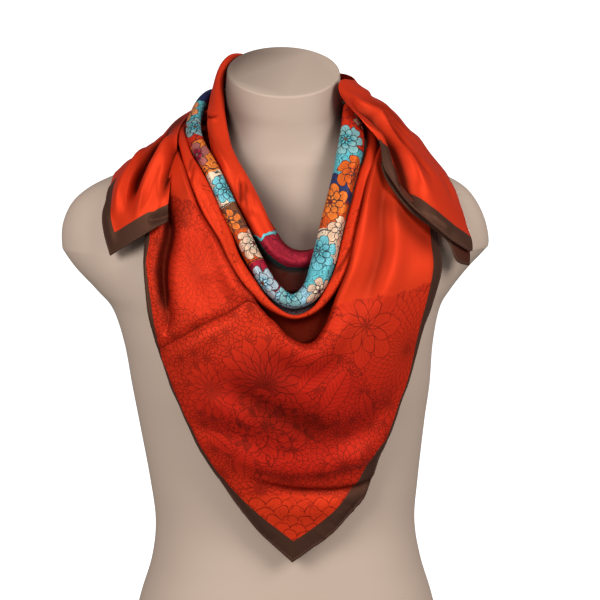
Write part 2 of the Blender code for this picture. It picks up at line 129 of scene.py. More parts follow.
class Guide:
    # places on the surface by turn and drop, which way it faces there, and distances round it
    def __init__(self, shape):
        self.turnStep, self.dropStep = shape["turnStep"], shape["dropStep"]
        self.turns = np.arange(-180, 180 + self.turnStep, self.turnStep)
        self.drops = np.arange(0, shape["longest"], self.dropStep)
        keys = column(shape, "height")[::-1]
        heights = np.linspace(keys[-1], keys[0], shape["heights"])
        names = shape["columns"].split()
        at = {name: smoothCurve(heights, keys, column(shape, name)[::-1]) for name in names}
        self.places = np.zeros((len(self.turns), len(self.drops), 3))
        for i, turn in enumerate(np.radians(self.turns)):
            depth = at["front"] if math.cos(turn) > 0 else at["back"]
            reach = 1 / np.hypot(math.sin(turn) / at["halfWidth"], math.cos(turn) / depth)
            line = np.stack(
                [at["centreX"] + reach * math.sin(turn), at["centreY"] - reach * math.cos(turn), heights],
                axis=1,
            )
            run = np.concatenate([[0], np.cumsum(np.linalg.norm(np.diff(line, axis=0), axis=1))])
            for axis in range(3):
                self.places[i, :, axis] = np.interp(self.drops, run, line[:, axis])
        around = np.gradient(self.places, axis=0)
        around[0] = around[-1] = self.places[1] - self.places[-2]
        self.outs = unit(np.cross(np.gradient(self.places, axis=1), around))
        steps = np.linalg.norm(np.diff(self.places, axis=0), axis=2)
        self.arcs = np.concatenate([np.zeros((1, len(self.drops))), np.cumsum(steps, axis=0)])
        self.arcs -= self.arcs[len(self.turns) // 2]

    def sample(self, grid, turn, drop):
        turn = (np.asarray(turn, float) + 180) % 360 / self.turnStep
        drop = np.clip(np.asarray(drop, float) / self.dropStep, 0, len(self.drops) - 1.001)
        i, j = turn.astype(int), drop.astype(int)
        a, b = turn - i, drop - j
        if grid.ndim == 3:
            a, b = a[..., None], b[..., None]
        return (
            grid[i, j] * (1 - a) * (1 - b)
            + grid[i + 1, j] * a * (1 - b)
            + grid[i, j + 1] * (1 - a) * b
            + grid[i + 1, j + 1] * a * b
        )

    def at(self, turn, drop, lift):
        out = unit(self.sample(self.outs, turn, drop))
        return self.sample(self.places, turn, drop) + out * np.asarray(lift, float)[..., None], out

    def arc(self, turn, drop):
        # distance round from the front at that drop, which grows on past half a turn
        whole = np.round(np.asarray(turn, float) / 360)
        ends = self.sample(self.arcs, np.full(np.shape(turn), 179.99), drop) - self.sample(
            self.arcs, np.full(np.shape(turn), -180.0), drop
        )
        return self.sample(self.arcs, turn - 360 * whole, drop) + whole * ends


crease = {
    "steps": 8,  # short lines between two of its points
    "reach": 4,  # how many widths away it is still worked out
    "fade": 0.32,  # share of its length over which it fades at each end
}


def creaseHeight(x, y, creases):
    # What soft ridges and troughs add at each place. A crease has its points, width, height, skew
    # and power. The width left of its direction is the greater the more the skew is over 0, and a
    # power of 2 gives a round crease and of 1 a pressed one.
    x, y = (np.broadcast_to(part, np.broadcast_shapes(np.shape(x), np.shape(y))) for part in (x, y))
    total = np.zeros(x.shape)
    for points, width, height, skew, power in creases:
        points = np.array(points, float)
        keys = np.arange(len(points))
        fine = np.linspace(0, keys[-1], crease["steps"] * keys[-1] + 1)
        line = np.stack([smoothCurve(fine, keys, points[:, axis]) for axis in (0, 1)], axis=1)
        runs = np.linalg.norm(np.diff(line, axis=0), axis=1)
        begins = np.concatenate([[0], np.cumsum(runs)])
        reach = crease["reach"] * width * (1 + abs(skew))
        near = np.ones(x.shape, bool)
        for part, places in ((x, line[:, 0]), (y, line[:, 1])):
            near &= (part > places.min() - reach) & (part < places.max() + reach)
        nearX, nearY = x[near], y[near]
        nearest = np.full(nearX.shape, 1e9)
        side = np.zeros(nearX.shape)
        along = np.zeros(nearX.shape)
        for start, step, run, begin in zip(line, np.diff(line, axis=0), runs, begins):
            dx, dy = nearX - start[0], nearY - start[1]
            t = np.clip((dx * step[0] + dy * step[1]) / run**2, 0, 1)
            far = np.hypot(dx - t * step[0], dy - t * step[1])
            closer = far < nearest
            nearest = np.where(closer, far, nearest)
            side = np.where(closer, np.sign(dy * step[0] - dx * step[1]), side)
            along = np.where(closer, (begin + t * run) / begins[-1], along)
        fade = ease(np.minimum(along, 1 - along) / crease["fade"])
        total[near] += height * fade * np.exp(-((nearest / (width * (1 + skew * side))) ** power))
    return total


def across(guide, turn, drop, front=0.0):
    # distance round from the turn that a piece is measured from, at the same drop
    turn, drop = np.asarray(turn, float), np.asarray(drop, float)
    return guide.arc(turn, drop) - guide.arc(np.full(turn.shape, float(front)), drop)


def paintedFoldShade(folds, deep=11.0):
    # how much painted shade a place gets for lying low in a fold, from 0 to 1
    return np.clip(-folds / deep, 0, 1) ** 2


def paintedShadeWithPaths(guide, shape, aside, drop, folds):
    # the same painted shade for a stretch that also has painted darker paths of its own, each with its
    # points, width and share
    front = shape.get("front", 0.0)
    paths = [(points, width, share, 0, 2) for points, width, share in shape["dark"]]
    return np.clip(paintedFoldShade(folds) + creaseHeight(aside, drop, placed(guide, paths, front)), 0, 1)


def placed(guide, creases, front=0.0):
    # creases given by turn and drop, as distances across and down
    return [
        ([(float(across(guide, turn, drop, front)), drop) for turn, drop in points], *rest)
        for points, *rest in creases
    ]


# cloth meshes

def gridMesh(name, points, flat, border=None, shade=None):
    # a grid of cloth with its flat coordinates in metres, how far each place is inside the border
    # and how much painted shade it has
    rows, columns = points.shape[:2]
    bm = bmesh.new()
    bmesh.ops.create_grid(bm, x_segments=columns - 1, y_segments=rows - 1, size=1)
    mesh = bpy.data.meshes.new(name)
    bm.to_mesh(mesh)
    bm.free()
    mesh.vertices.foreach_set("co", (points * mm).astype(np.float32).ravel())
    corners = np.zeros(len(mesh.loops), np.int32)
    mesh.loops.foreach_get("vertex_index", corners)
    uv = mesh.uv_layers[0] if mesh.uv_layers else mesh.uv_layers.new()
    uv.name = "cloth"
    uv.data.foreach_set("uv", (flat.reshape(-1, 2)[corners] * mm).astype(np.float32).ravel())
    for mark, values, none in (("border", border, noBorder), ("shade", shade, 0.0)):
        values = np.full(points.shape[:2], none) if values is None else values
        layer = mesh.attributes.new(mark, "FLOAT", "POINT")
        layer.data.foreach_set("value", values.astype(np.float32).ravel())
    bm = bmesh.new()
    bm.from_mesh(mesh)
    bmesh.ops.remove_doubles(bm, verts=bm.verts, dist=1e-6)
    bmesh.ops.recalc_face_normals(bm, faces=bm.faces)
    bm.to_mesh(mesh)
    bm.free()
    mesh.shade_smooth()
    return mesh


def addPiece(name, mesh, material, node=None):
    piece = bpy.data.objects.new(name, mesh)
    bpy.context.scene.collection.objects.link(piece)
    mesh.materials.append(material)
    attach(piece, "root")
    if node:
        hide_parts(node)
    return piece


def addWall(piece, thickness):
    wall = piece.modifiers.new("wall", "SOLIDIFY")
    wall.thickness = thickness * mm
    wall.offset = 0


# torso form

torsoForm = {
    "columns": "height centreX centreY halfWidth front back square lean",
    "rows": [
        (0, 1, 5, 167, 100, 112, 2.3, 0),
        (60, 1, 5, 159, 98, 106, 2.3, 0),
        (120, 1, 4, 145, 93, 90, 2.3, 0),
        (160, 1, 3, 133, 88, 80, 2.3, 0),
        (198, 0, 2, 128, 84, 76, 2.3, 0),
        (240, -1, 2, 132, 87, 77, 2.3, 0),
        (296, -3, 3, 140, 97, 83, 2.3, 0),
        (334, -4, 4, 146, 107, 88, 2.3, 0),
        (374, -6, 6, 151, 113, 91, 2.3, 0),
        (408, -8, 8, 160, 110, 95, 2.2, 0),
        (427, -10, 10, 174, 105, 97, 2.1, 0),
        (447, -11, 12, 192, 97, 97, 2.0, 0),
        (462, -9, 14, 205, 90, 96, 2.0, 0),
        (470, -8, 15, 209, 86, 95, 2.0, 0),
        (490, -9, 17, 207, 76, 91, 2.0, 0),
        (510, -9, 18, 198, 67, 84, 2.0, 0),
        (525, -7, 19, 183, 62, 78, 2.0, 0),
        (537, -5, 20, 160, 60, 72, 2.0, 0),
        (550, -2, 20, 129, 59, 66, 2.0, 0),
        (562, 0, 20, 99, 58, 61, 2.0, 2),
        (576, 0, 18, 73, 57, 58, 2.0, 5),
        (594, 0, 15, 60, 57, 57, 2.0, 10),
        (614, -1, 11, 57, 58, 58, 2.0, 17),
        (636, -1, 8, 55, 60, 60, 2.0, 21),
    ],
    "levels": 230,
    "sides": 160,
    "trim": 0.4,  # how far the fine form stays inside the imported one
    "neckRim": 2.0,
    "rimAngles": (22, 45, 68, 90),
    "capInset": 4.0,
    "sharp": 50,  # edges that bend more than this stay sharp
    "contactShadeTone": 0.76,  # how dark the painted shade on the form is right beside the folds, and how far that reaches
    "contactShadeReach": 21.0,
    "nearFrom": (-180, 15),  # the turns from which the collar and the printed fold count
    "nearTo": 100,
    "nearStations": 160,
    # by the turn, how much closer the folds count as being
    "closer": [(-180, 0), (-60, 0), (-25, 4), (-8, 24), (8, 24), (22, 6), (34, -9), (180, -9)],
}


def formRing(form, level):
    rows = np.arange(len(form["rows"]))
    names = form["columns"].split()
    at = {name: float(smoothCurve(level, rows, column(form, name))) for name in names}
    turn = np.linspace(0, 2 * math.pi, form["sides"] + 1)
    bend = 2 / at["square"]
    trim = form["trim"]
    aside = (at["halfWidth"] - trim) * np.sign(np.sin(turn)) * np.abs(np.sin(turn)) ** bend
    depth = np.where(np.cos(turn) > 0, at["front"], at["back"]) - trim
    back = -depth * np.sign(np.cos(turn)) * np.abs(np.cos(turn)) ** bend
    lean = math.radians(at["lean"])
    depth, rise = back * math.cos(lean), back * math.sin(lean)
    return np.stack([at["centreX"] + aside, at["centreY"] + depth, at["height"] + rise], axis=1)


def paintedContactShade(guide, form, points):
    # painted shade on the form, for lying close to the folds round its neck
    nearest = np.full(points.shape[:2], 1e9)
    for roll, start in zip((collarRoll, printRoll), form["nearFrom"]):
        at = resample(roll, [""], form["nearStations"])
        line = guide.at(at["turn"], at["drop"], at["lift"])[0]
        for turn, place, width in zip(at["turn"], line, at["halfWidth"]):
            if start < turn < form["nearTo"]:
                closer = width + np.interp(turn, *zip(*form["closer"]))
                nearest = np.minimum(nearest, np.linalg.norm(points - place, axis=2) - closer)
    return form["contactShadeTone"] * np.exp(-((np.clip(nearest, 0, None) / form["contactShadeReach"]) ** 2))


def buildTorso(guide, form, material):
    levels = np.linspace(0, len(form["rows"]) - 1, form["levels"])
    rings = [formRing(form, level) for level in levels]
    lean = math.radians(form["rows"][-1][-1])
    middle = rings[-1][:-1].mean(axis=0)
    for angle in np.radians(form["rimAngles"]):  # the rounded rim of the neck
        inward = form["neckRim"] * (1 - math.cos(angle)) / form["rows"][-1][3]
        up = np.array([0, -math.sin(lean), math.cos(lean)]) * form["neckRim"] * math.sin(angle)
        rings.append(middle + (rings[form["levels"] - 1] - middle) * (1 - inward) + up)
    points = np.array(rings)
    mesh = gridMesh("torsoForm", points, points[:, :, :2], shade=paintedContactShade(guide, form, points))
    bm = bmesh.new()
    bm.from_mesh(mesh)
    rims = [edge for edge in bm.edges if edge.is_boundary]
    bmesh.ops.holes_fill(bm, edges=rims, sides=0)
    for face in bm.faces:
        if len(face.verts) > 4:
            inset = form["capInset"] * mm
            bmesh.ops.inset_region(bm, faces=[face], thickness=inset, use_even_offset=True)
    bmesh.ops.recalc_face_normals(bm, faces=bm.faces)
    bm.to_mesh(mesh)
    bm.free()
    mesh.shade_smooth()
    mesh.set_sharp_from_angle(angle=math.radians(form["sharp"]))
    return addPiece("torsoShell", mesh, material, "torso_form")


# rolled folds

# The section of a fold from its inner tail over the crest to its skirt, as shares of the half
# width and of the bulge. The skirt runs on beneath the next fold and sinks towards the form, and
# the tail rises behind the crest.
rollSection = {
    "columns": "across out skirt sink rise",
    "rows": [
        (-0.70, -1.20, 0, 0, 1),
        (-0.85, -0.85, 0, 0, 0.3),
        (-1.00, 0.00, 0, 0, 0),
        (-0.70, 0.72, 0, 0, 0),
        (0.00, 1.00, 0, 0, 0),
        (0.70, 0.70, 0, 0, 0),
        (1.00, -0.10, 0, 0.02, 0),
        (1.05, -0.80, 0.05, 0.25, 0),
        (1.05, -1.05, 0.25, 0.75, 0),
        (1.05, -1.05, 1, 1, 0),
    ],
    "foldDepth": 4.5,  # the depth of a crease at which its painted shade is darkest
}

collarRoll = {
    "columns": "turn drop lift halfWidth bulge skirt",
    "rows": [
        (-222, 42, 1, 6, 3, 2),
        (-205, 36, 0, 8, 3.5, 3),
        (-180, 27, -1.3, 9, 4, 4),
        (-150, 19, -1.3, 9, 4, 5),
        (-122, 17, -1.3, 9.5, 4, 5),
        (-92, 38, 0, 10, 4, 5),
        (-70, 60, -3, 10.5, 5, 9),
        (-56, 76, -4.3, 10.2, 5, 12),
        (-47, 89.5, -5.9, 9.7, 5, 13),
        (-35, 110.8, -6.6, 10.4, 5.5, 14),
        (-25, 129, -6, 11, 6, 14),
        (-15, 153, -6, 10, 6, 18),
        (-9, 172, -6, 9, 6, 22),
        (-3, 188, -6, 8, 6, 24),
        (4, 198, -7, 8, 5.5, 24),
        (11, 198, -10, 7, 5, 20),
        (18, 192, -13, 6, 4, 10),
        (25, 180, -15, 5, 3, 4),
    ],
    "sink": [(-120, 0), (-60, 2), (-30, 4), (-12, 4), (0, 4), (8, 2), (12, 1), (25, 0)],
    "rise": [(-18, 0), (-8, 6), (4, 8), (14, 7), (22, 2), (25, 1)],
    "stations": 400,
    "cells": 42,
    "soften": 5,
    "paintedShadeStart": 1.3,  # the depth below the crest at which painted shade starts, and over which it goes dark
    "dark": 1.3,  # both as shares of the bulge
    "creases": [
        ([(-68, 10), (-65, 4), (-63, -2), (-62, -8)], 1.8, -3.4, 0.3, 1.7),
        ([(-64, 8), (-61, 1), (-58, -6)], 2.4, 1.8, 0, 2),
        ([(-62, 4), (-52, 4), (-42, 2), (-29, 0)], 3.0, 2.2, -0.3, 2),
        ([(-60, 9), (-46, 9), (-36, 8), (-27, 9)], 2.6, -2.4, 0, 2),
        ([(-28, -6), (-24, -1), (-20, 5), (-18, 12)], 2.2, -4.2, 0.4, 1.7),
        ([(-23, -8), (-18, -2), (-13, 5)], 3.6, 2.2, 0, 2),
        ([(-96, -4), (-84, 0), (-72, 2)], 3, -1.6, 0, 2),
        ([(-6, -3), (2, -1), (10, 1)], 2.4, -1.5, 0, 1.8),
        ([(-190, 2), (-170, -2), (-150, 3), (-128, 0)], 3, -1.6, 0, 2),
        ([(-150, -5), (-132, -2), (-112, -4)], 2.6, 1.4, 0, 2),
    ],
    "shadows": [
        ([(-40, 12), (-33, 10), (-27, 8), (-22, 7), (-17, 9)], 2.6, 0.45),
        ([(-72, 10), (-67, 6), (-63, 1), (-60, -4)], 1.6, 0.7),
        ([(-62, 2), (-52, 3), (-42, 1), (-33, -2)], 2.6, 0.3),
        ([(-26, -9), (-22, -4), (-19, 1), (-16, 4)], 1.8, 0.6),
    ],
    "cloth": 0.5,
}

printRoll = {
    "columns": "turn drop lift halfWidth bulge skirt",
    "rows": [
        (-180, 62, -3, 8, 4, 1),
        (-150, 58, -2, 8, 4, 1),
        (-122, 51, 3, 8, 4, 1),
        (-98, 58, 7, 8, 5, 1),
        (-84, 73, 5, 7.5, 5, 1),
        (-68, 89, 2, 7.5, 5, 1),
        (-54, 104, 0, 7, 5, 1),
        (-43, 118, 0, 7, 5, 1),
        (-34, 136, 0, 7, 5, 1),
        (-27, 156, 0, 7.5, 5, 1),
        (-20, 177, 0, 7.5, 5.5, 1),
        (-12, 204, 0, 7.2, 6, 3),
        (-3, 231, 0, 6.6, 5.5, 7),
        (5, 243.5, 0, 6, 5, 9),
        (12, 233, 0, 8.6, 6.5, 7),
        (19, 206, 0, 11, 8, 3),
        (25, 177, 0, 11, 8, 1),
        (30, 153, 0, 11, 7, 1),
        (36, 126, 0, 11, 7, 1),
        (42, 101, 0, 12.5, 7, 1),
        (52, 77, -2, 12.5, 5.5, 1),
        (66, 60, -6, 10.5, 4, 1),
        (90, 60, -6, 9, 3, 1),
        (125, 62, -4, 8, 4, 1),
        (180, 62, -3, 8, 4, 1),
    ],
    "sink": [(-180, 0), (-20, 3), (0, 5), (15, 4), (40, 1), (180, 0)],
    "rise": [(-180, 0), (180, 0)],
    "stations": 440,
    "cells": 38,
    "soften": 4,
    "paintedShadeStart": 1.1,
    "dark": 0.9,
    "creases": [
        ([(-92, 4), (-76, 2), (-60, 5), (-48, 3)], 2.6, -1.0, 0, 2),
        ([(-44, -3), (-34, 1), (-24, 0), (-14, 4)], 2.8, -1.1, 0.2, 2),
        ([(-12, 3), (-4, -2), (3, -4)], 2.4, -1.6, 0, 1.8),
        ([(6, -4), (11, 1), (17, 4)], 2.6, -1.3, 0, 2),
        ([(14, -5), (22, -3), (32, -4), (42, -2)], 3.2, -1.4, 0, 2),
        ([(22, 5), (34, 6), (46, 4), (58, 6)], 3.0, 1.2, 0, 2),
        ([(44, -8), (50, 0), (54, 8)], 2.2, -1.6, 0.3, 1.7),
        ([(88, 2), (110, -2), (140, 3)], 3, -1.4, 0, 2),
        ([(-170, 0), (-150, 3), (-126, -1)], 3, -1.4, 0, 2),
    ],
    "shadows": [],
    "cloth": 0.5,
}

outerRoll = {
    "columns": "turn drop lift halfWidth bulge skirt",
    "rows": [
        (-180, 80, -3, 7, 3, 1),
        (-150, 78, -2, 7, 3, 1),
        (-124, 76, 2, 7, 3, 2),
        (-104, 82, 3, 6, 3, 2),
        (-84, 94, 2, 5, 3, 3),
        (-67, 103.5, 0, 4.4, 3, 4),
        (-56, 117, -1, 4.8, 3.5, 5),
        (-48, 130, -1.5, 7.4, 4.5, 5),
        (-41, 146, -1.5, 9.2, 5, 5),
        (-36, 160, -1.5, 8.8, 5, 6),
        (-29, 180, -1.5, 8.2, 5, 8),
        (-23, 202, -1, 7.2, 5, 10),
        (-14, 226, -0.5, 6, 4.5, 14),
        (-5, 245.5, -1.5, 3.2, 3.2, 22),
        (6, 257.5, -2, 1.6, 2.2, 26),
        (14, 249, -1.5, 2.6, 2.8, 22),
        (21, 232, -1.5, 4.6, 4, 12),
        (27, 212, -1, 6, 4.5, 8),
        (31, 193.5, -1.5, 6.3, 4.5, 6),
        (36, 170.5, -1.5, 6.2, 4.5, 5),
        (41, 147.5, -1.5, 5.8, 4.5, 5),
        (48.5, 119.5, -3, 5.4, 4, 5),
        (58.5, 99, -5, 5, 3.5, 4),
        (72, 84, -7, 4.5, 3, 3),
        (92, 80, -7, 6, 3, 2),
        (125, 80, -4, 7, 3, 1),
        (180, 80, -3, 7, 3, 1),
    ],
    "sink": [(-180, 1), (-60, 3), (-40, 5), (-25, 7), (-12, 8), (6, 8), (20, 8), (30, 6), (45, 4),
             (180, 1)],
    "rise": [(-180, 0), (180, 0)],
    "stations": 480,
    "cells": 36,
    "soften": 4,
    "paintedShadeStart": 0.75,
    "dark": 0.9,
    "creases": [
        ([(-53, -7), (-50, -2), (-47, 3), (-45, 9)], 2.0, -2.4, 0.3, 1.7),
        ([(-50, -7), (-47, -1), (-43, 6)], 2.6, 1.6, 0, 2),
        ([(-44, 2), (-36, 1), (-28, 2)], 2.6, -1.4, 0.2, 2),
        ([(-26, -3), (-18, 1), (-10, 3)], 2.0, -1.0, 0, 2),
        ([(24, -6), (29, 0), (32, 6)], 2.2, -2.2, -0.3, 1.7),
        ([(32, -4), (38, 0), (46, 2)], 2.0, 1.0, 0, 2),
        ([(100, 3), (125, -2), (150, 2)], 3, -1.6, 0, 2),
        ([(-160, -2), (-140, 3), (-115, 0)], 3, -1.6, 0, 2),
    ],
    "shadows": [
        ([(-54, -6), (-51, 0), (-48, 6)], 1.8, 0.6),
        ([(24, -6), (29, 0), (32, 6)], 2.0, 0.5),
    ],
    "cloth": 0.5,
}


degreeLength = 1.5  # millimetres to a degree of turn, roughly
finePlaces = 4000


def resample(piece, lines, count, crowd=None):
    # every column at even places along the line or lines that the table holds; crowd thins places out
    steps = 0
    for line in lines:
        turn, drop = (line + "Turn", line + "Drop") if line else ("turn", "drop")
        steps = steps + np.hypot(np.diff(column(piece, turn)) * degreeLength, np.diff(column(piece, drop)))
    keys = np.concatenate([[0], np.cumsum(steps)])
    places = np.linspace(0, keys[-1], count)
    if crowd is not None:
        fine = np.linspace(0, keys[-1], finePlaces)
        share = np.cumsum(crowd(smoothCurve(fine, keys, column(piece, lines[0] + "Turn"))))
        places = np.interp(np.linspace(share[0], share[-1], count), share, fine)
    return {name: smoothCurve(places, keys, column(piece, name)) for name in piece["columns"].split()}


def rollPoints(guide, roll):
    at = resample(roll, [""], roll["stations"])
    isRing = roll["rows"][-1][0] - roll["rows"][0][0] == 360
    for name in ("drop", "lift", "halfWidth", "bulge", "skirt"):
        at[name] = soften(at[name], roll["soften"], isRing)
    middle, out = guide.at(at["turn"], at["drop"], at["lift"])
    along = np.gradient(middle, axis=0)
    if isRing:
        along[0] = along[-1] = (middle[1] - middle[0]) + (middle[-1] - middle[-2])
    down = unit(np.cross(unit(along), out))
    out = unit(np.cross(down, unit(along)))
    run = np.concatenate([[0], np.cumsum(np.linalg.norm(np.diff(middle, axis=0), axis=1))])
    run -= np.interp(0, at["turn"], run)
    keys = np.arange(len(rollSection["rows"]))
    places = np.linspace(0, keys[-1], roll["cells"] + 1)
    over = smoothCurve(places, keys, column(rollSection, "across"))[None, :] * at["halfWidth"][:, None]
    over = over + smoothCurve(places, keys, column(rollSection, "skirt"))[None, :] * at["skirt"][:, None]
    proud = smoothCurve(places, keys, column(rollSection, "out"))[None, :] * at["bulge"][:, None]
    for name, moved in (("sink", proud), ("rise", over)):
        turns, sizes = zip(*roll[name])
        size = soften(np.interp(at["turn"], turns, sizes), roll["soften"], isRing)[:, None]
        moved -= size * smoothCurve(places, keys, column(rollSection, name))[None, :]
    girth = np.hypot(np.diff(over, axis=1), np.diff(proud, axis=1))
    girth = np.concatenate([np.zeros((len(run), 1)), np.cumsum(girth, axis=1)], axis=1)
    crest = np.argmax(proud, axis=1)
    girth -= girth[np.arange(len(run)), crest][:, None]

    def byRun(lines):
        # lines given by turn, by how far along the fold they are
        return [
            ([(np.interp(turn, at["turn"], run), far) for turn, far in points], *rest)
            for points, *rest in lines
        ]

    creases = byRun(roll["creases"])
    shadows = [(*shadow, 0, 2) for shadow in byRun(roll["shadows"])]
    flat = np.stack([np.broadcast_to(run[:, None], girth.shape), girth], axis=2)
    # painted shade: darker with depth below the crest, in the creases and along the painted shadow paths
    depth = proud.max(axis=1, keepdims=True) - proud
    folds = creaseHeight(flat[:, :, 0], girth, creases)
    depth = depth / at["bulge"][:, None]
    shade = np.maximum(ease((depth - roll["paintedShadeStart"]) / roll["dark"]), paintedFoldShade(folds, rollSection["foldDepth"]))
    shade = np.clip(shade + creaseHeight(flat[:, :, 0], girth, shadows), 0, 1)
    proud = proud + folds
    points = middle[:, None] + over[..., None] * down[:, None] + proud[..., None] * out[:, None]
    if isRing:
        points[-1] = points[0]
    return points, flat, shade


def buildRoll(name, node, guide, roll, material):
    points, flat, shade = rollPoints(guide, roll)
    mesh = gridMesh(name, points, flat, shade=shade)
    piece = addPiece(name, mesh, material, node)
    addWall(piece, roll["cloth"])
    return piece


# bib

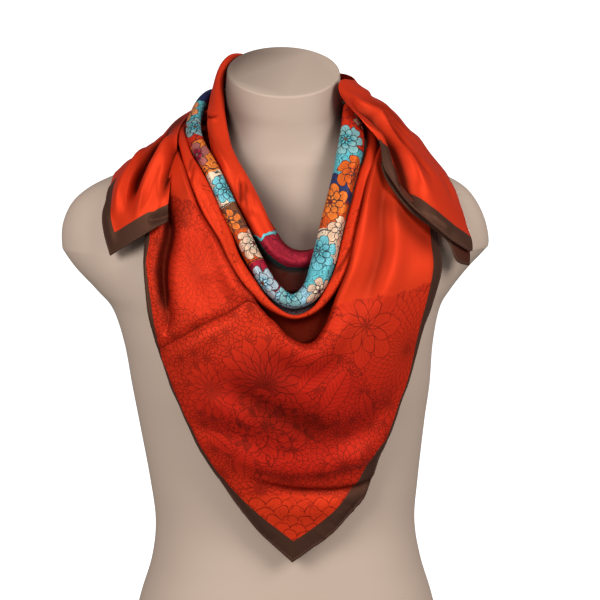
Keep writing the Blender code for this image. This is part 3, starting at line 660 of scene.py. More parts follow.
bib = {
    "columns": "lipTurn lipDrop lipLift curl roll hemTurn hemDrop hemLift",
    "rows": [
        (-144, 98, 1, 1.5, 2, -142, 112, -3),
        (-126, 96, 5, 1.8, 2, -122, 128, -7),
        (-98, 100, -5, 2, 3, -96, 144, -13.2),
        (-75, 107, -6, 2, 3, -74, 162, -13.4),
        (-59, 121, -1, 2, 3, -61, 188, -9),
        (-50, 138, 7, 2.2, 4, -57, 212, -1),
        (-41, 166, 8, 2.4, 4, -53, 252, 2),
        (-33, 185, 8, 2.6, 4, -52, 290, 2),
        (-25, 209.5, 8.6, 2.6, 4, -50.5, 330, 2),
        (-15, 240, 9, 4, 5, -46, 372, 2),
        (-5, 262, 10, 4.5, 8, -37, 418, 2),
        (2, 279, 11, 5, 9, -20, 460, 2),
        (8, 286, 11, 5, 9, 1, 495, 2),
        (14, 282, 11, 5, 9, 21, 468.5, 2),
        (19, 264, 10, 4.5, 8, 36.5, 438.5, 2),
        (24, 240, 9, 4, 6, 45.7, 398.5, 2),
        (29, 220, 8, 3, 5, 52, 366, 2),
        (34, 192, 8, 2.6, 4, 57.5, 324, 2),
        (40, 166, 8, 2.4, 4, 60, 278, 2),
        (46, 139, 7, 2.2, 4, 63, 240, 0),
        (54, 114, 1, 2, 3, 66, 208, -8),
        (69, 97, -8, 2, 3, 73, 176, -12.5),
        (92, 94, -6, 2, 3, 92, 150, -13.4),
        (124, 96, 4, 1.8, 2, 122, 128, -7),
        (144, 98, 1, 1.5, 2, 142, 112, -3),
    ],
    "tip": 12,  # the row at the corner of the square
    "stations": 420,
    "cells": 95,
    "lipCells": 14,
    "lipTurnIn": 125,  # degrees that the lip rolls through; "curl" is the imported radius, "roll" this one
    "lipTail": 10,
    "border": 17.0,
    # how far the hem turns under, by the drop of the hem
    "tuckWidth": 24,
    "tuckLeft": [(112, 10), (162, 20), (188, 90), (212, 150), (250, 172), (302, 165), (322, 96),
                 (372, 90), (418, 84), (450, 60), (474, 26), (495, 6)],
    "tuckRight": [(112, 10), (176, 20), (208, 28), (240, 24), (278, 32), (300, 52), (340, 96),
                  (384, 110), (400, 48), (420, 22), (437, 16), (467, 12), (495, 6)],
    "tuckMost": 0.35,  # share of the cloth's length that may turn under
    "thinTurn": 76,  # past this turn the rows stand further apart
    "thin": 0.3,
    "tailRows": 3,
    "lipPitch": 1.5,
    "eased": 2,  # how many times the rows are eased, and over how many rows each way
    "easing": 5,
    "borderReach": 60,
    "creases": [
        ([(-54, 146), (-52, 170), (-50, 193), (-49, 220), (-47.5, 247), (-45, 288)], 7.5, -11, -0.2, 2),
        ([(-56, 200), (-54, 228), (-52, 256), (-50, 300)], 5, 3, 0, 2),
        ([(-43, 258), (-45, 272), (-47, 292)], 3.5, -2.5, 0, 1.6),
        ([(-55, 316), (-50, 306), (-45, 294), (-34, 272), (-24, 257), (-12, 240)], 4.0, -2.6, 0.25, 1.7),
        ([(-52, 318), (-44, 306), (-33, 284), (-23, 268)], 9, 1.8, 0, 2),
        ([(-39, 162), (-30, 195), (-20, 230), (-9, 256)], 9, 3.0, 0, 2),
        ([(-34, 220), (-26, 242), (-20, 262)], 14, -2.6, 0, 2),
        ([(-18, 238), (-12, 250), (-4, 268)], 5, -2.2, 0.3, 1.5),
        ([(-12, 262), (0, 286), (9, 295), (17, 290), (23, 270), (29, 243)], 9, 2.6, 0, 2),
        ([(-8, 288), (6, 310), (18, 304), (27, 280)], 12, -3.4, 0, 2),
        ([(56, 96), (50, 115), (45, 138), (40, 169), (32, 207), (25, 233), (18, 262)], 7, 3.0, -0.2, 2),
        ([(56, 112), (52, 140), (48, 168), (44, 200), (36, 236), (28, 262)], 10, -4.8, 0.1, 2),
        ([(58, 130), (54, 160), (50, 187), (46, 211), (41, 238), (34, 270)], 15, 2.6, 0, 2),
        ([(-34, 306), (-22, 326), (-6, 344), (14, 362), (32, 380)], 17, -6.5, 0.2, 2),
        ([(-40, 334), (-16, 352), (8, 376)], 12, 2.4, 0, 2),
        ([(52, 330), (38, 358), (18, 380)], 14, -4.4, 0, 2),
        ([(-46, 374), (-28, 368), (-8, 378)], 10, -3.0, 0, 2),
        ([(-34, 388), (-14, 398), (8, 402), (30, 396), (54, 384)], 11, 6.0, -0.25, 2),
        ([(-26, 409), (-6, 420), (14, 424), (32, 424), (52, 416)], 5, -5.2, 0.5, 1.5),
        ([(-16, 434), (4, 444), (26, 438)], 9, 2.2, 0, 2),
        ([(38, 430), (31, 447), (24, 462)], 3, -1.4, 0, 1.6),
        ([(44, 412), (38, 432), (33, 446)], 4, 1.6, 0, 2),
        ([(37, 452), (32, 444), (25, 438)], 1.8, -1.3, 0.2, 1.8),
        ([(31, 458), (27, 450), (22, 446)], 1.6, 1.1, 0, 2),
        ([(27, 468), (22, 458), (18, 452)], 1.8, -1.2, -0.2, 1.8),
        ([(20, 476), (15, 466), (12, 461)], 2.2, 1.0, 0, 2),
        ([(13, 486), (10, 475), (7, 468)], 1.8, -1.0, 0.2, 1.8),
        ([(-12, 484), (-9, 473), (-6, 466)], 2.0, -0.9, 0, 1.8),
        ([(-27, 458), (-22, 448), (-18, 441)], 2.4, 0.9, 0, 2),
        ([(-38, 428), (-31, 419), (-26, 413)], 2.2, -0.9, 0.2, 1.8),
        ([(-78, 116), (-70, 140), (-64, 172)], 6, -3, 0, 2),
        ([(78, 108), (74, 132), (71, 160)], 6, -3, 0, 2),
    ],
    # painted shade along these paths, each with its points, width and share
    "dark": [
        ([(-54, 142), (-52, 170), (-50, 193), (-49, 220), (-47.5, 247), (-46, 290)], 7.5, 0.95),
        ([(-48, 132), (-46, 160), (-45, 190)], 9, 0.4),
        ([(56, 108), (52, 138), (48, 168), (44, 200), (36, 236), (28, 264)], 8, 0.5),
        ([(50, 146), (53.5, 168), (56.5, 188), (60, 208), (64, 226)], 9, 0.6),
        ([(52, 196), (50, 220), (49, 246), (46, 274)], 16, 0.13),
        ([(-26, 330), (-8, 346), (12, 362), (30, 376)], 15, 0.35),
        ([(-25, 410), (-6, 421), (14, 425), (32, 424), (50, 416)], 4, 0.4),
        ([(-56, 318), (-50, 308), (-44, 296)], 4, 0.35),
    ],
    "press": [(-55, 316), (-50, 306), (-45, 294), (-34, 272), (-24, 257), (-12, 240)],
    "faintPress": [(-31, 278), (-32, 320), (-36, 372)],
    # small uneven waves along the hem: where on the hem, how wide and how high
    "waves": [(-50, 346, 9, 1.2), (-48, 364, 8, -1.1), (-42, 398, 12, 1.4), (-33, 432, 11, -1.3),
              (-14, 470, 12, 1.2), (10, 482, 9, -1.2), (22, 465, 7, 1.2), (29, 454, 6, -1.2),
              (35, 441, 7, 1.0), (40, 424, 8, -1.2), (46, 396, 10, 1.2), (53, 362, 12, -1.2)],
    "waveReach": 26,
    "cloth": 0.5,
}


def bibPoints(guide, shape):
    lips, cells, tip = shape["lipCells"], shape["cells"], shape["tip"]

    def crowd(turn):
        return np.where(np.abs(turn) < shape["thinTurn"], 1, shape["thin"])

    halves = []
    for rows, tucks in ((shape["rows"][: tip + 1], "tuckLeft"), (shape["rows"][tip:], "tuckRight")):
        part = {"columns": shape["columns"], "rows": rows}
        half = resample(part, ["hem"], shape["stations"] // 2 + 1, crowd)
        drops, angles = zip(*shape[tucks])
        half["tuck"] = np.interp(half["hemDrop"], drops, angles)
        halves.append(half)
    at = {name: np.concatenate([halves[0][name], halves[1][name][1:]])[:, None] for name in halves[0]}
    hemPoint = guide.at(at["hemTurn"], at["hemDrop"], at["hemLift"])[0][:, 0]
    lipPoint = guide.at(at["lipTurn"], at["lipDrop"], at["lipLift"])[0][:, 0]
    length = np.linalg.norm(hemPoint - lipPoint, axis=1)[:, None]
    width = np.minimum(shape["tuckWidth"], shape["tuckMost"] * length)
    bend = np.radians(at["tuck"])
    radius = width / bend
    reach = radius * np.sin(np.minimum(bend, math.pi / 2))  # in-plane reach of the turned-under part
    lead = at["roll"] - at["curl"]  # the wider roll starts lower, so that the lip's outline stays
    clothLength = length - lead - reach + width
    left = clothLength * (1 - np.linspace(0, 1, cells + 1)[None, :])  # cloth left before the hem
    t = np.clip(1 - left / width, 0, 1)
    short = np.where(left > width, left - width + reach, reach - radius * np.sin(bend * t))
    inward = np.where(left > width, 0, radius * (1 - np.cos(bend * t)))
    share = 1 - short / length
    flatShare = 1 - (left - width + reach) / length  # as if the hem weren't turned under
    byTurn, byDrop = at["hemTurn"] - at["lipTurn"], at["hemDrop"] - at["lipDrop"]
    turn, flatTurn = (at["lipTurn"] + byTurn * part for part in (share, flatShare))
    drop, flatDrop = (at["lipDrop"] + byDrop * part for part in (share, flatShare))
    proud = at["lipLift"] * (1 - share) ** 2 + at["hemLift"] * (1 - (1 - share) ** 2) - inward
    for _ in range(shape["eased"]):  # ease the middle line where the two halves meet, less towards the hem
        for grid in (turn, drop, proud, flatTurn, flatDrop):
            for j in range(cells + 1):
                keep = np.clip(share[:, j], 0, 1) ** 4
                grid[:, j] = grid[:, j] * keep + soften(grid[:, j], shape["easing"]) * (1 - keep)
    flat = np.stack([across(guide, flatTurn, flatDrop), flatDrop], axis=2)
    folds = creaseHeight(across(guide, turn, drop), drop, placed(guide, shape["creases"]))
    proud = proud + folds
    hemX, nearHem = across(guide, at["hemTurn"], at["hemDrop"]), np.exp(-((left / shape["waveReach"]) ** 2))
    for waveTurn, waveDrop, wide, high in shape["waves"]:
        far = np.hypot(hemX - across(guide, waveTurn, waveDrop), at["hemDrop"] - waveDrop) / wide
        proud = proud + high * np.exp(-(far**2)) * nearHem
    sheet, out = guide.at(turn, drop, proud)
    lip, out = sheet[:, 0], out[:, 0]
    down = unit(sheet[:, 1] - sheet[:, 0])
    out = unit(out - down * np.sum(out * down, axis=1, keepdims=True))
    roll = at["roll"]
    inner = []
    for angle in np.radians(np.linspace(shape["lipTurnIn"], 0, lips + 1))[:-1]:
        inner.append(lip - out * roll * (1 - math.cos(angle)) - down * roll * math.sin(angle))
    last = math.radians(shape["lipTurnIn"])
    onwards = -out * math.sin(last) - down * math.cos(last)
    rows = shape["tailRows"]
    tail = [inner[0] + onwards * shape["lipTail"] * (1 - k / rows) for k in range(rows)]
    points = np.concatenate([np.stack([*tail, *inner], axis=1), sheet], axis=1)
    extra = len(tail) + len(inner)
    gone = np.linspace(extra, 1, extra)[None, :, None] * shape["lipPitch"]
    flatLip = flat[:, :1] - np.concatenate([gone * 0, gone], axis=2)
    edge = flat[:, -1]
    border = np.full(points.shape[:2], noBorder)
    for j in np.nonzero((left < shape["borderReach"]).any(axis=0))[0]:
        toHem = np.linalg.norm(flat[:, j][:, None] - edge[None, :], axis=2).min(axis=1)
        border[:, extra + j] = shape["border"] - toHem
    # painted shade on the lip's inner curl, darkest at its tail
    under = np.broadcast_to(np.linspace(1, 0, extra)[None, :], (len(points), extra))
    shade = paintedShadeWithPaths(guide, shape, across(guide, turn, drop), drop, folds)
    shade = np.concatenate([under, shade], axis=1)
    return points, np.concatenate([flatLip, flat], axis=1), border, shade


def buildBib(guide, shape, material):
    points, flat, border, shade = bibPoints(guide, shape)
    mesh = gridMesh("bibCloth", points, flat, border, shade)
    piece = addPiece("bibCloth", mesh, material, "bib")
    addWall(piece, shape["cloth"])
    return piece, points


# free ends

rightShoulderEnd = {
    "columns": "innerTurn innerDrop outerTurn outerDrop innerLift outerLift arch pleat",
    "rows": [
        (-218, 72, -218, 102, 4, 3, 1, 1),
        (-198, 78, -198, 112, 4, 3, 1, 1),
        (-180, 87, -180, 128, 7, 5, 2, 2),
        (-162, 68, -162, 136, 10, 6, 3, 3),
        (-144, 60, -146, 142, 12, 2, 4, 3),
        (-120, 64, -125, 150, 13, -4, 4, 3),
        (-100, 76, -106, 158, 12, -10, 1, 2),
        (-84, 88, -91, 166, 11, -12.6, -1, 1),
        (-70, 104, -80, 178, 11, -12, 1, 0),
        (-60, 126, -74, 197, 10, -10, 3, 0),
        (-54, 152, -70.5, 220, 9, -6.5, 3, 0),
        (-51, 184, -65, 240, 8, -2, 2, 0),
    ],
    "stations": 260,
    "cells": 120,
    "hemEdge": "outer",
    "hemFrom": 184,  # how far down the hem starts to show
    "border": (13.5, 13.5),  # its width where the hem starts to show and at the end
    "endBorder": 19,
    "edgeRoll": (9, -5),  # the folded edge rolls away over this width, to this height
    "pleatShares": [(0.16, 0.09, 0.8), (0.40, 0.11, 1.0), (0.66, 0.08, 0.7), (0.86, 0.07, 0.9)],
    "front": -65,  # the turn that its creases are measured from
    "creases": [
        ([(-86, 103), (-81, 109), (-76, 118), (-71, 131), (-68.5, 146), (-66.5, 162), (-65, 177), (-64, 200)],
         5.5, -12, -0.25, 2),
        ([(-88, 130), (-79, 138), (-74, 149), (-71.5, 162), (-69.5, 178), (-68, 196), (-67, 212)],
         7, 6, 0, 2),
        ([(-118, 102), (-102, 106), (-90, 112), (-82, 122), (-78, 136)], 4.5, -5.5, 0.3, 2),
        ([(-76, 101), (-69, 112), (-64, 133), (-62.5, 147), (-61, 163), (-60.5, 179), (-61, 200)],
         5, 7, 0.1, 2),
        ([(-72, 98), (-63, 118), (-58, 137), (-56, 153), (-54, 170)], 3.6, -8, 0, 2),
        ([(-50, 172), (-53, 183), (-57, 193)], 4, -4.5, 0.2, 1.6),
        ([(-86, 166), (-76, 188), (-69, 214)], 7, -2.4, 0, 2),
        ([(-74, 196), (-69, 212), (-64, 232)], 6, 2.4, 0, 2),
    ],
    # painted shade along these paths, each with its points, width and share
    "dark": [
        ([(-108, 84), (-96, 88), (-86, 96), (-80, 105), (-74, 117), (-70, 131), (-68, 148)], 9, 0.9),
        ([(-84, 106), (-77, 118), (-72, 133), (-69.5, 148), (-67, 164), (-65.5, 180)], 4.5, 0.6),
        ([(-68, 108), (-60, 126), (-57, 140), (-55, 156), (-54, 172)], 3.2, 0.75),
        ([(-96, 108), (-88, 116), (-82, 126), (-77, 138), (-73, 152)], 3.5, 0.35),
    ],
    "cloth": 0.5,
}

leftShoulderEnd = {
    "columns": "innerTurn innerDrop outerTurn outerDrop innerLift outerLift arch pleat",
    "rows": [
        (218, 62, 218, 90, 4, 4, 1, 1),
        (198, 54, 198, 84, 4, 3, 1, 1),
        (180, 42, 180, 79, 6, 6, 2, 2),
        (162, 35, 162, 106, 9, 10, 3, 2),
        (144, 30, 144, 122, 10, 8, 4, 3),
        (120, 30, 124, 132, 9, 3, 9, 3),
        (98, 33, 110, 142, 6, -2, 14, 3),
        (76, 31, 99, 151, 2, -7, 17, 2),
        (60, 29, 91, 158, -2, -10, 17, 1),
        (51, 34, 88, 162, -1, -11, 15, 1),
        (47, 45, 85, 166, 4, -12, 13, 0),
        (49, 62, 81, 172, 12, -12.4, 11, 0),
        (53, 82, 78.5, 180, 13, -11.6, 9, 0),
        (56, 103, 77, 189, 12, -10.8, 7, 0),
        (52.5, 124, 75.5, 200, 12, -9, 6, 0),
        (54, 143, 74.5, 211, 11, -6.5, 5, 0),
        (57, 168, 73.5, 221, 10, -3.2, 4, 0),
        (61, 193, 73, 229, 9, 0, 3, 0),
        (65.5, 219, 72.3, 234, 7, 3, 1, 0),
        (70, 238, 71.3, 240, 6, 5, 0, 0),
    ],
    "stations": 300,
    "cells": 110,
    "hemEdge": "inner",
    "hemFrom": 102,
    "border": (9.5, 21.5),
    "endBorder": 0,
    "edgeRoll": None,
    "pleatShares": [(0.14, 0.08, 0.9), (0.36, 0.10, 1.0), (0.60, 0.09, 0.8), (0.84, 0.08, 1.0)],
    "front": 65,
    "creases": [
        ([(56, 46), (60, 58), (64, 74), (65, 90), (63, 106)], 5.5, -5, -0.2, 2),
        ([(64, 76), (64.5, 92), (62, 110), (59.5, 129), (58.5, 142), (58, 158), (60.5, 184)],
         7.5, -13, -0.45, 2),
        ([(66, 37), (57, 41), (65, 51), (72, 68), (72, 87), (68, 110), (65, 133), (64.5, 152), (66, 180)],
         5.5, 5, 0, 2),
        ([(68, 46), (76, 62), (78.5, 79), (74, 102), (69, 126), (68, 146), (68.5, 168)], 5, -5, 0.2, 2),
        ([(76, 40), (74, 46), (79, 57), (82, 72), (82, 92), (79, 112), (77, 134)], 4.5, -3.5, 0.3, 1.8),
        ([(62, 180), (64, 196), (67, 214)], 7, 2, 0, 2),
        ([(76, 150), (74, 172), (73, 196)], 6, -2, 0, 2),
    ],
    # painted shade along these paths, each with its points, width and share
    "dark": [
        ([(50, 40), (60, 54), (65, 74), (64, 92), (61.5, 110), (59.5, 129), (58.5, 142), (58, 158),
          (60, 178)], 6, 0.8),
        ([(68, 46), (76, 62), (78.5, 79), (74, 102), (69, 126), (68, 146), (68.5, 166)], 5, 0.42),
        ([(78, 46), (82, 58), (84, 72), (85, 90), (83, 106), (80, 122)], 5, 0.5),
        ([(50, 40), (48, 52), (51, 66)], 5, 0.35),
    ],
    "cloth": 0.5,
}


endPleats = {
    "height": 1.4,
    "drift": (0.05, 17, 9),  # how far a pleat wanders, over how many degrees, and its own start
    "soften": 3,
    "sideTurn": 95,  # the hem shows only in front of this turn
}


def endPoints(guide, shape):
    table = resample(shape, ["inner", "outer"], shape["stations"])
    at = {name: soften(values, endPleats["soften"])[:, None] for name, values in table.items()}
    share = np.linspace(0, 1, shape["cells"] + 1)[None, :]
    turn = at["innerTurn"] + (at["outerTurn"] - at["innerTurn"]) * share
    drop = at["innerDrop"] + (at["outerDrop"] - at["innerDrop"]) * share
    proud = at["innerLift"] + (at["outerLift"] - at["innerLift"]) * share
    proud = proud + at["arch"] * np.sin(math.pi * share)
    wander, degrees, start = endPleats["drift"]
    for middle, wide, high in shape["pleatShares"]:  # long folds round the back, gone over the shoulder
        drift = wander * np.sin(at["innerTurn"] / degrees + start * middle)
        size = at["pleat"] * endPleats["height"] * high
        proud = proud + size * np.exp(-(((share - middle - drift) / wide) ** 2))
    aside = across(guide, turn, drop, shape["front"])
    folds = creaseHeight(aside, drop, placed(guide, shape["creases"], shape["front"]))
    proud = proud + folds
    points = guide.at(turn, drop, proud)[0]
    steps = np.linalg.norm(np.diff(points, axis=1), axis=2)
    fromInner = np.concatenate([np.zeros((len(points), 1)), np.cumsum(steps, axis=1)], axis=1)
    if shape["edgeRoll"]:
        wide, high = shape["edgeRoll"]
        proud = proud + high * np.exp(-((fromInner / wide) ** 2) * 2)
        points = guide.at(turn, drop, proud)[0]
    along = np.linalg.norm(np.diff(points, axis=0), axis=2)
    toEnd = np.cumsum(along[::-1], axis=0)[::-1]
    toEnd = np.concatenate([toEnd, np.zeros((1, points.shape[1]))], axis=0)
    side = 0 if shape["hemEdge"] == "inner" else -1
    inFront = np.abs(turn[:, side]) < endPleats["sideTurn"]
    first = int(np.argmax(drop[:, side] * inFront > shape["hemFrom"]))
    hem = points[first:, side]
    border = np.full(turn.shape, noBorder)
    for i in range(first, len(points)):
        toHem = np.linalg.norm(points[i][:, None] - hem[None, :], axis=2).min(axis=1)
        width = np.interp(i, (first, len(points) - 1), shape["border"])
        border[i] = np.maximum(width - toHem, shape["endBorder"] - toEnd[i])
    flat = np.stack([np.broadcast_to(toEnd.mean(axis=1, keepdims=True), toEnd.shape), fromInner], axis=2)
    return points, flat, border, paintedShadeWithPaths(guide, shape, aside, drop, folds), first


def buildEnd(name, node, guide, shape, material):
    points, flat, border, shade, first = endPoints(guide, shape)
    piece = addPiece(name, gridMesh(name, points, flat, border, shade), material, node)
    addWall(piece, shape["cloth"])
    return piece, points[first:]


# hems

hem = {
    "inset": 1.3,
    "halfWidth": 1.5,
    "halfThick": 0.75,
    "sides": 8,
    "stitchInset": 2.3,
    "stitchLift": 0.5,
    "stitchPitch": 2.6,
    "stitchLength": 1.7,
    "stitchWidth": 0.5,
    "thread": {"Base Color": (0.115, 0.055, 0.038, 1), "Roughness": 0.6},
    "rowsIn": 4,  # how many rows of the cloth from its edge show which way the hem lies
}

# the second layer of cloth that hangs just below the left end's hem
underLayer = {
    "columns": "lowTurn lowDrop highTurn highDrop lift",
    "rows": [
        (53, 122, 55, 120, 7),
        (52.5, 134, 54.5, 131, 7),
        (54, 152, 57, 147, 6),
        (57, 174, 60, 168, 4.5),
        (62, 199, 64.5, 192, 3.5),
        (65.2, 219, 68, 211, 3),
        (66.5, 240, 69.5, 227, 2.5),
        (70.5, 252, 71, 240, 2.5),
    ],
    "stations": 120,
    "cells": 14,
    "shade": (0.25, 0.6),  # how much painted shade its lower edge has, and how much more the upper one
    "rowsIn": 3,
    "cloth": 0.5,
}


def buildHem(name, cloth, rowsIn, material, thread):
    # a rolled hem along the first column of a grid of cloth, and its stitches
    edge = cloth[:, 0]
    along = unit(np.gradient(edge, axis=0))
    inward = cloth[:, rowsIn] - edge
    inward = unit(inward - along * np.sum(inward * along, axis=1, keepdims=True))
    out = np.cross(along, inward)
    run = np.concatenate([[0], np.cumsum(np.linalg.norm(np.diff(edge, axis=0), axis=1))])
    middle = edge + inward * hem["inset"]
    rounds = np.linspace(0, 2 * math.pi, hem["sides"] + 1)
    wide, thick = inward * hem["halfWidth"], out * hem["halfThick"]
    points = np.stack([middle + wide * math.cos(a) + thick * math.sin(a) for a in rounds], axis=1)
    points[0], points[-1] = middle[0], middle[-1]  # closes both ends
    flat = np.stack(np.meshgrid(run, rounds, indexing="ij"), axis=2)
    mesh = gridMesh(name, points, flat, np.full(points.shape[:2], allBorder))
    band = addPiece(name, mesh, material)
    row = edge + inward * hem["stitchInset"] + out * hem["stitchLift"]
    shaped = Matrix.Diagonal((hem["stitchLength"] / 2, hem["stitchWidth"] / 2, hem["stitchWidth"] / 2, 1))
    bm = bmesh.new()
    for far in np.arange(hem["stitchPitch"], run[-1], hem["stitchPitch"]):
        at = []
        for line in (row, along, inward, out):
            at.append(Vector([np.interp(far, run, line[:, axis]) for axis in range(3)]))
        turned = Matrix([axis.normalized() for axis in at[1:]]).transposed().to_4x4()
        place = Matrix.Translation(at[0] * mm) @ turned @ shaped
        bmesh.ops.create_icosphere(bm, subdivisions=1, radius=mm, matrix=place)
    mesh = bpy.data.meshes.new(name + "Stitches")
    bm.to_mesh(mesh)
    bm.free()
    mesh.shade_smooth()
    stitches = addPiece(name + "Stitches", mesh, thread)
    return [band, stitches]


def buildUnderLayer(name, guide, shape, material):
    table = resample(shape, ["low", "high"], shape["stations"])
    at = {key: values[:, None] for key, values in table.items()}
    share = np.linspace(1, 0, shape["cells"] + 1)[None, :]
    turn = at["lowTurn"] + (at["highTurn"] - at["lowTurn"]) * share
    drop = at["lowDrop"] + (at["highDrop"] - at["lowDrop"]) * share
    grid = guide.at(turn, drop, at["lift"] + 0 * share)[0]
    run = np.concatenate([[0], np.cumsum(np.linalg.norm(np.diff(grid[:, -1], axis=0), axis=1))])
    width = np.linalg.norm(grid[:, 0] - grid[:, -1], axis=1)[:, None]
    flat = np.stack([np.broadcast_to(run[:, None], turn.shape), width * share], axis=2)
    # painted shade, more of it towards the upper edge under the hem
    low, more = shape["shade"]
    mesh = gridMesh(name, grid, flat, np.full(turn.shape, allBorder), low + more * share + 0 * turn)
    piece = addPiece(name, mesh, material)
    addWall(piece, shape["cloth"])
    return piece, grid


# finishes

def feed(node, values):
    # what goes into a node's sockets, as values or as links
    for name, value in values.items():
        if isinstance(value, Shade):
            value.tree.links.new(value.socket, node.inputs[name])
        else:
            node.inputs[name].default_value = value


def newFinish(name):
    material = bpy.data.materials.new(name)
    material.use_nodes = True
    tree = material.node_tree
    return material, tree.nodes["Principled BSDF"], Shade(tree)


class Shade:
    # A socket of a material's nodes. Arithmetic on it adds Math nodes, and node() adds any other.
    def __init__(self, tree, socket=None):
        self.tree = tree
        self.socket = socket

    def node(self, kind, settings=None, values=None, output=0):
        made = self.tree.nodes.new("ShaderNode" + kind)
        for name, setting in (settings or {}).items():
            if name == "stops":
                ramp = made.color_ramp
                for place, colour in setting[1:-1]:
                    ramp.elements.new(place).color = (*colour, 1)
                ends = ((ramp.elements[0], setting[0]), (ramp.elements[-1], setting[-1]))
                for element, (place, colour) in ends:
                    element.position, element.color = place, (*colour, 1)
            elif name == "steps":
                made.color_ramp.interpolation = setting
            else:
                setattr(made, name, setting)
        feed(made, values or {})
        return Shade(self.tree, made.outputs[output])

    def do(self, operation, *others):
        return self.node("Math", {"operation": operation}, dict(enumerate((self, *others))))

    def clamped(self):
        return self.node("Math", {"operation": "ADD", "use_clamp": True}, {0: self, 1: 0.0})

    def __add__(self, other):
        return self.do("ADD", other)

    def __sub__(self, other):
        return self.do("SUBTRACT", other)

    def __rsub__(self, other):
        return self.node("Math", {"operation": "SUBTRACT"}, {0: other, 1: self})

    def __mul__(self, other):
        return self.do("MULTIPLY", other)

    def __truediv__(self, other):
        return self.do("DIVIDE", other)

    def __rtruediv__(self, other):
        return self.node("Math", {"operation": "DIVIDE"}, {0: other, 1: self})

    def __pow__(self, other):
        return self.do("POWER", other)

    def __abs__(self):
        return self.do("ABSOLUTE")

    def __lt__(self, other):
        return self.do("LESS_THAN", other)

    def __gt__(self, other):
        return self.do("GREATER_THAN", other)

    __radd__ = __add__
    __rmul__ = __mul__

    def blend(self, under, over):
        # this socket as the share of the colour over
        under, over = (side if isinstance(side, Shade) else (*side, 1) for side in (under, over))
        return self.node("Mix", {"data_type": "RGBA"}, {0: self, 6: under, 7: over}, 2)

    def stroke(self, width, soft=0.14):
        # 1 within half the width of 0, for distances in millimetres
        return ((width / 2 + soft - abs(self)) / (2 * soft)).clamped()


def clothPlace(shade):
    # x and y on the flat cloth, in millimetres
    place = shade.node("UVMap", {"uv_map": "cloth"})
    return shade.node("VectorMath", {"operation": "SCALE"}, {0: place, "Scale": 1000.0})


def carried(shade, mark):
    # a number that every place of the mesh carries
    return shade.node("Attribute", {"attribute_name": mark}, {}, 2)


def apart(place):
    return [place.node("SeparateXYZ", {}, {0: place}, axis) for axis in (0, 1)]


def noise(place, size, detail=2.0, output=0):
    return place.node("TexNoise", {}, {"Vector": place, "Scale": 1 / size, "Detail": detail}, output)


def swayed(place, size, reach):
    # the place moved about a little, so that drawn lines look drawn by hand
    way = noise(place, size, 1.0, 1)
    way = place.node("VectorMath", {"operation": "SUBTRACT"}, {0: way, 1: (0.5, 0.5, 0.5)})
    way = place.node("VectorMath", {"operation": "SCALE"}, {0: way, "Scale": 2.0 * reach})
    return place.node("VectorMath", {"operation": "ADD"}, {0: place, 1: way})


def swayedBy(place, sways):
    # one sway after another
    for size, reach in sways:
        place = swayed(place, size, reach)
    return place


# what a drawn flower has where its own entry doesn't say otherwise
plainFlower = {
    "twist": 0.0,
    "turn": 0.0,
    "line": 0.6,
    "ribs": 1,
    "ribLine": 0.35,
    "ribEnd": 0.2,  # how far out a petal its ribs run, as a share of the ring
    "ribTone": 0.6,
    "outline": 0.35,  # half the line round the whole flower
    "root": 0.15,  # how dark the flower goes towards its middle
    "sway": False,
    "ruffle": False,
}


def petals(x, y, flower):
    # Rings of petals round a middle, each ring half a petal further round, the inner ones on top.
    # Gives the lines, whether a place is in the flower, and how near to its middle it is, which
    # falls to 0 over as many rings as its heart has, or over all of them.
    count, spacing, blunt = flower["petals"], flower["ring"], flower["blunt"]
    reach = (x * x + y * y).do("SQRT")
    around = y.do("ARCTAN2", x) * (count / (2 * math.pi)) + reach * flower["twist"] + flower["turn"]
    ring = reach / spacing
    rings = ring.do("FLOOR")
    odd = rings.do("MODULO", 2.0) * 0.5
    inner = (around + odd).do("FRACT") - 0.5
    outer = (around + 0.5 - odd).do("FRACT") - 0.5
    half = abs(inner) * 2
    over = ring.do("FRACT") - (1 - half**blunt)
    petalWidth = reach * (2 * math.pi / count) + 0.01  # never 0, since the slope is divided by it
    slope = half ** (blunt - 1) * (2 * blunt) / petalWidth
    tip = over / (slope * slope + 1 / spacing**2).do("SQRT")
    isOuter = over > 0
    petal = inner + isOuter * (outer - inner)
    ribs = flower["ribs"]
    rib = ((petal * ribs + 0.5).do("FRACT") - 0.5) * petalWidth / ribs
    along = ring.do("FRACT") - isOuter
    ribLine = rib.stroke(flower["ribLine"]) * (along < flower["ribEnd"]) * flower["ribTone"]
    lines = tip.stroke(flower["line"]).do("MAXIMUM", ribLine)
    inside = (rings + (over > flower["outline"] / spacing)) < flower["rings"] - 0.5
    near = (1 - reach / (flower.get("heart", flower["rings"]) * spacing)).clamped()
    return lines, inside, near


leafDrawing = {
    "blunt": 0.7,
    "edge": 0.6,
    "vein": 0.45,
    "veinTone": 0.85,
    "veinLean": 0.9,  # how far a vein climbs for each millimetre out from the midrib
    "veinSlope": 0.75,  # brings the veins' spacing to that across them
    "midrib": 0.7,
    "outline": 0.3,
}


def leaf(x, y, shape):
    # a pointed leaf with side veins, from its root along its midrib
    length, width, pitch = shape["length"], shape["width"], shape["pitch"]
    turn = math.radians(shape["turn"])
    along = (x * math.cos(turn) + y * math.sin(turn)) / length
    aside = y * math.cos(turn) - x * math.sin(turn)
    aside = aside + along * (1 - along) * shape["bend"]
    within = (along * (1 - along) * 4).do("MAXIMUM", 0.0)
    half = within ** leafDrawing["blunt"] * (width / 2)
    edge = (half - abs(aside)).stroke(leafDrawing["edge"])
    vein = (along * length - abs(aside) * leafDrawing["veinLean"]) / pitch
    vein = (vein.do("FRACT") - 0.5) * pitch * leafDrawing["veinSlope"]
    vein = vein.stroke(leafDrawing["vein"]) * leafDrawing["veinTone"]
    lines = edge.do("MAXIMUM", vein).do("MAXIMUM", aside.stroke(leafDrawing["midrib"]))
    inside = abs(aside) < half + leafDrawing["outline"]
    return lines, inside * (within > 0)


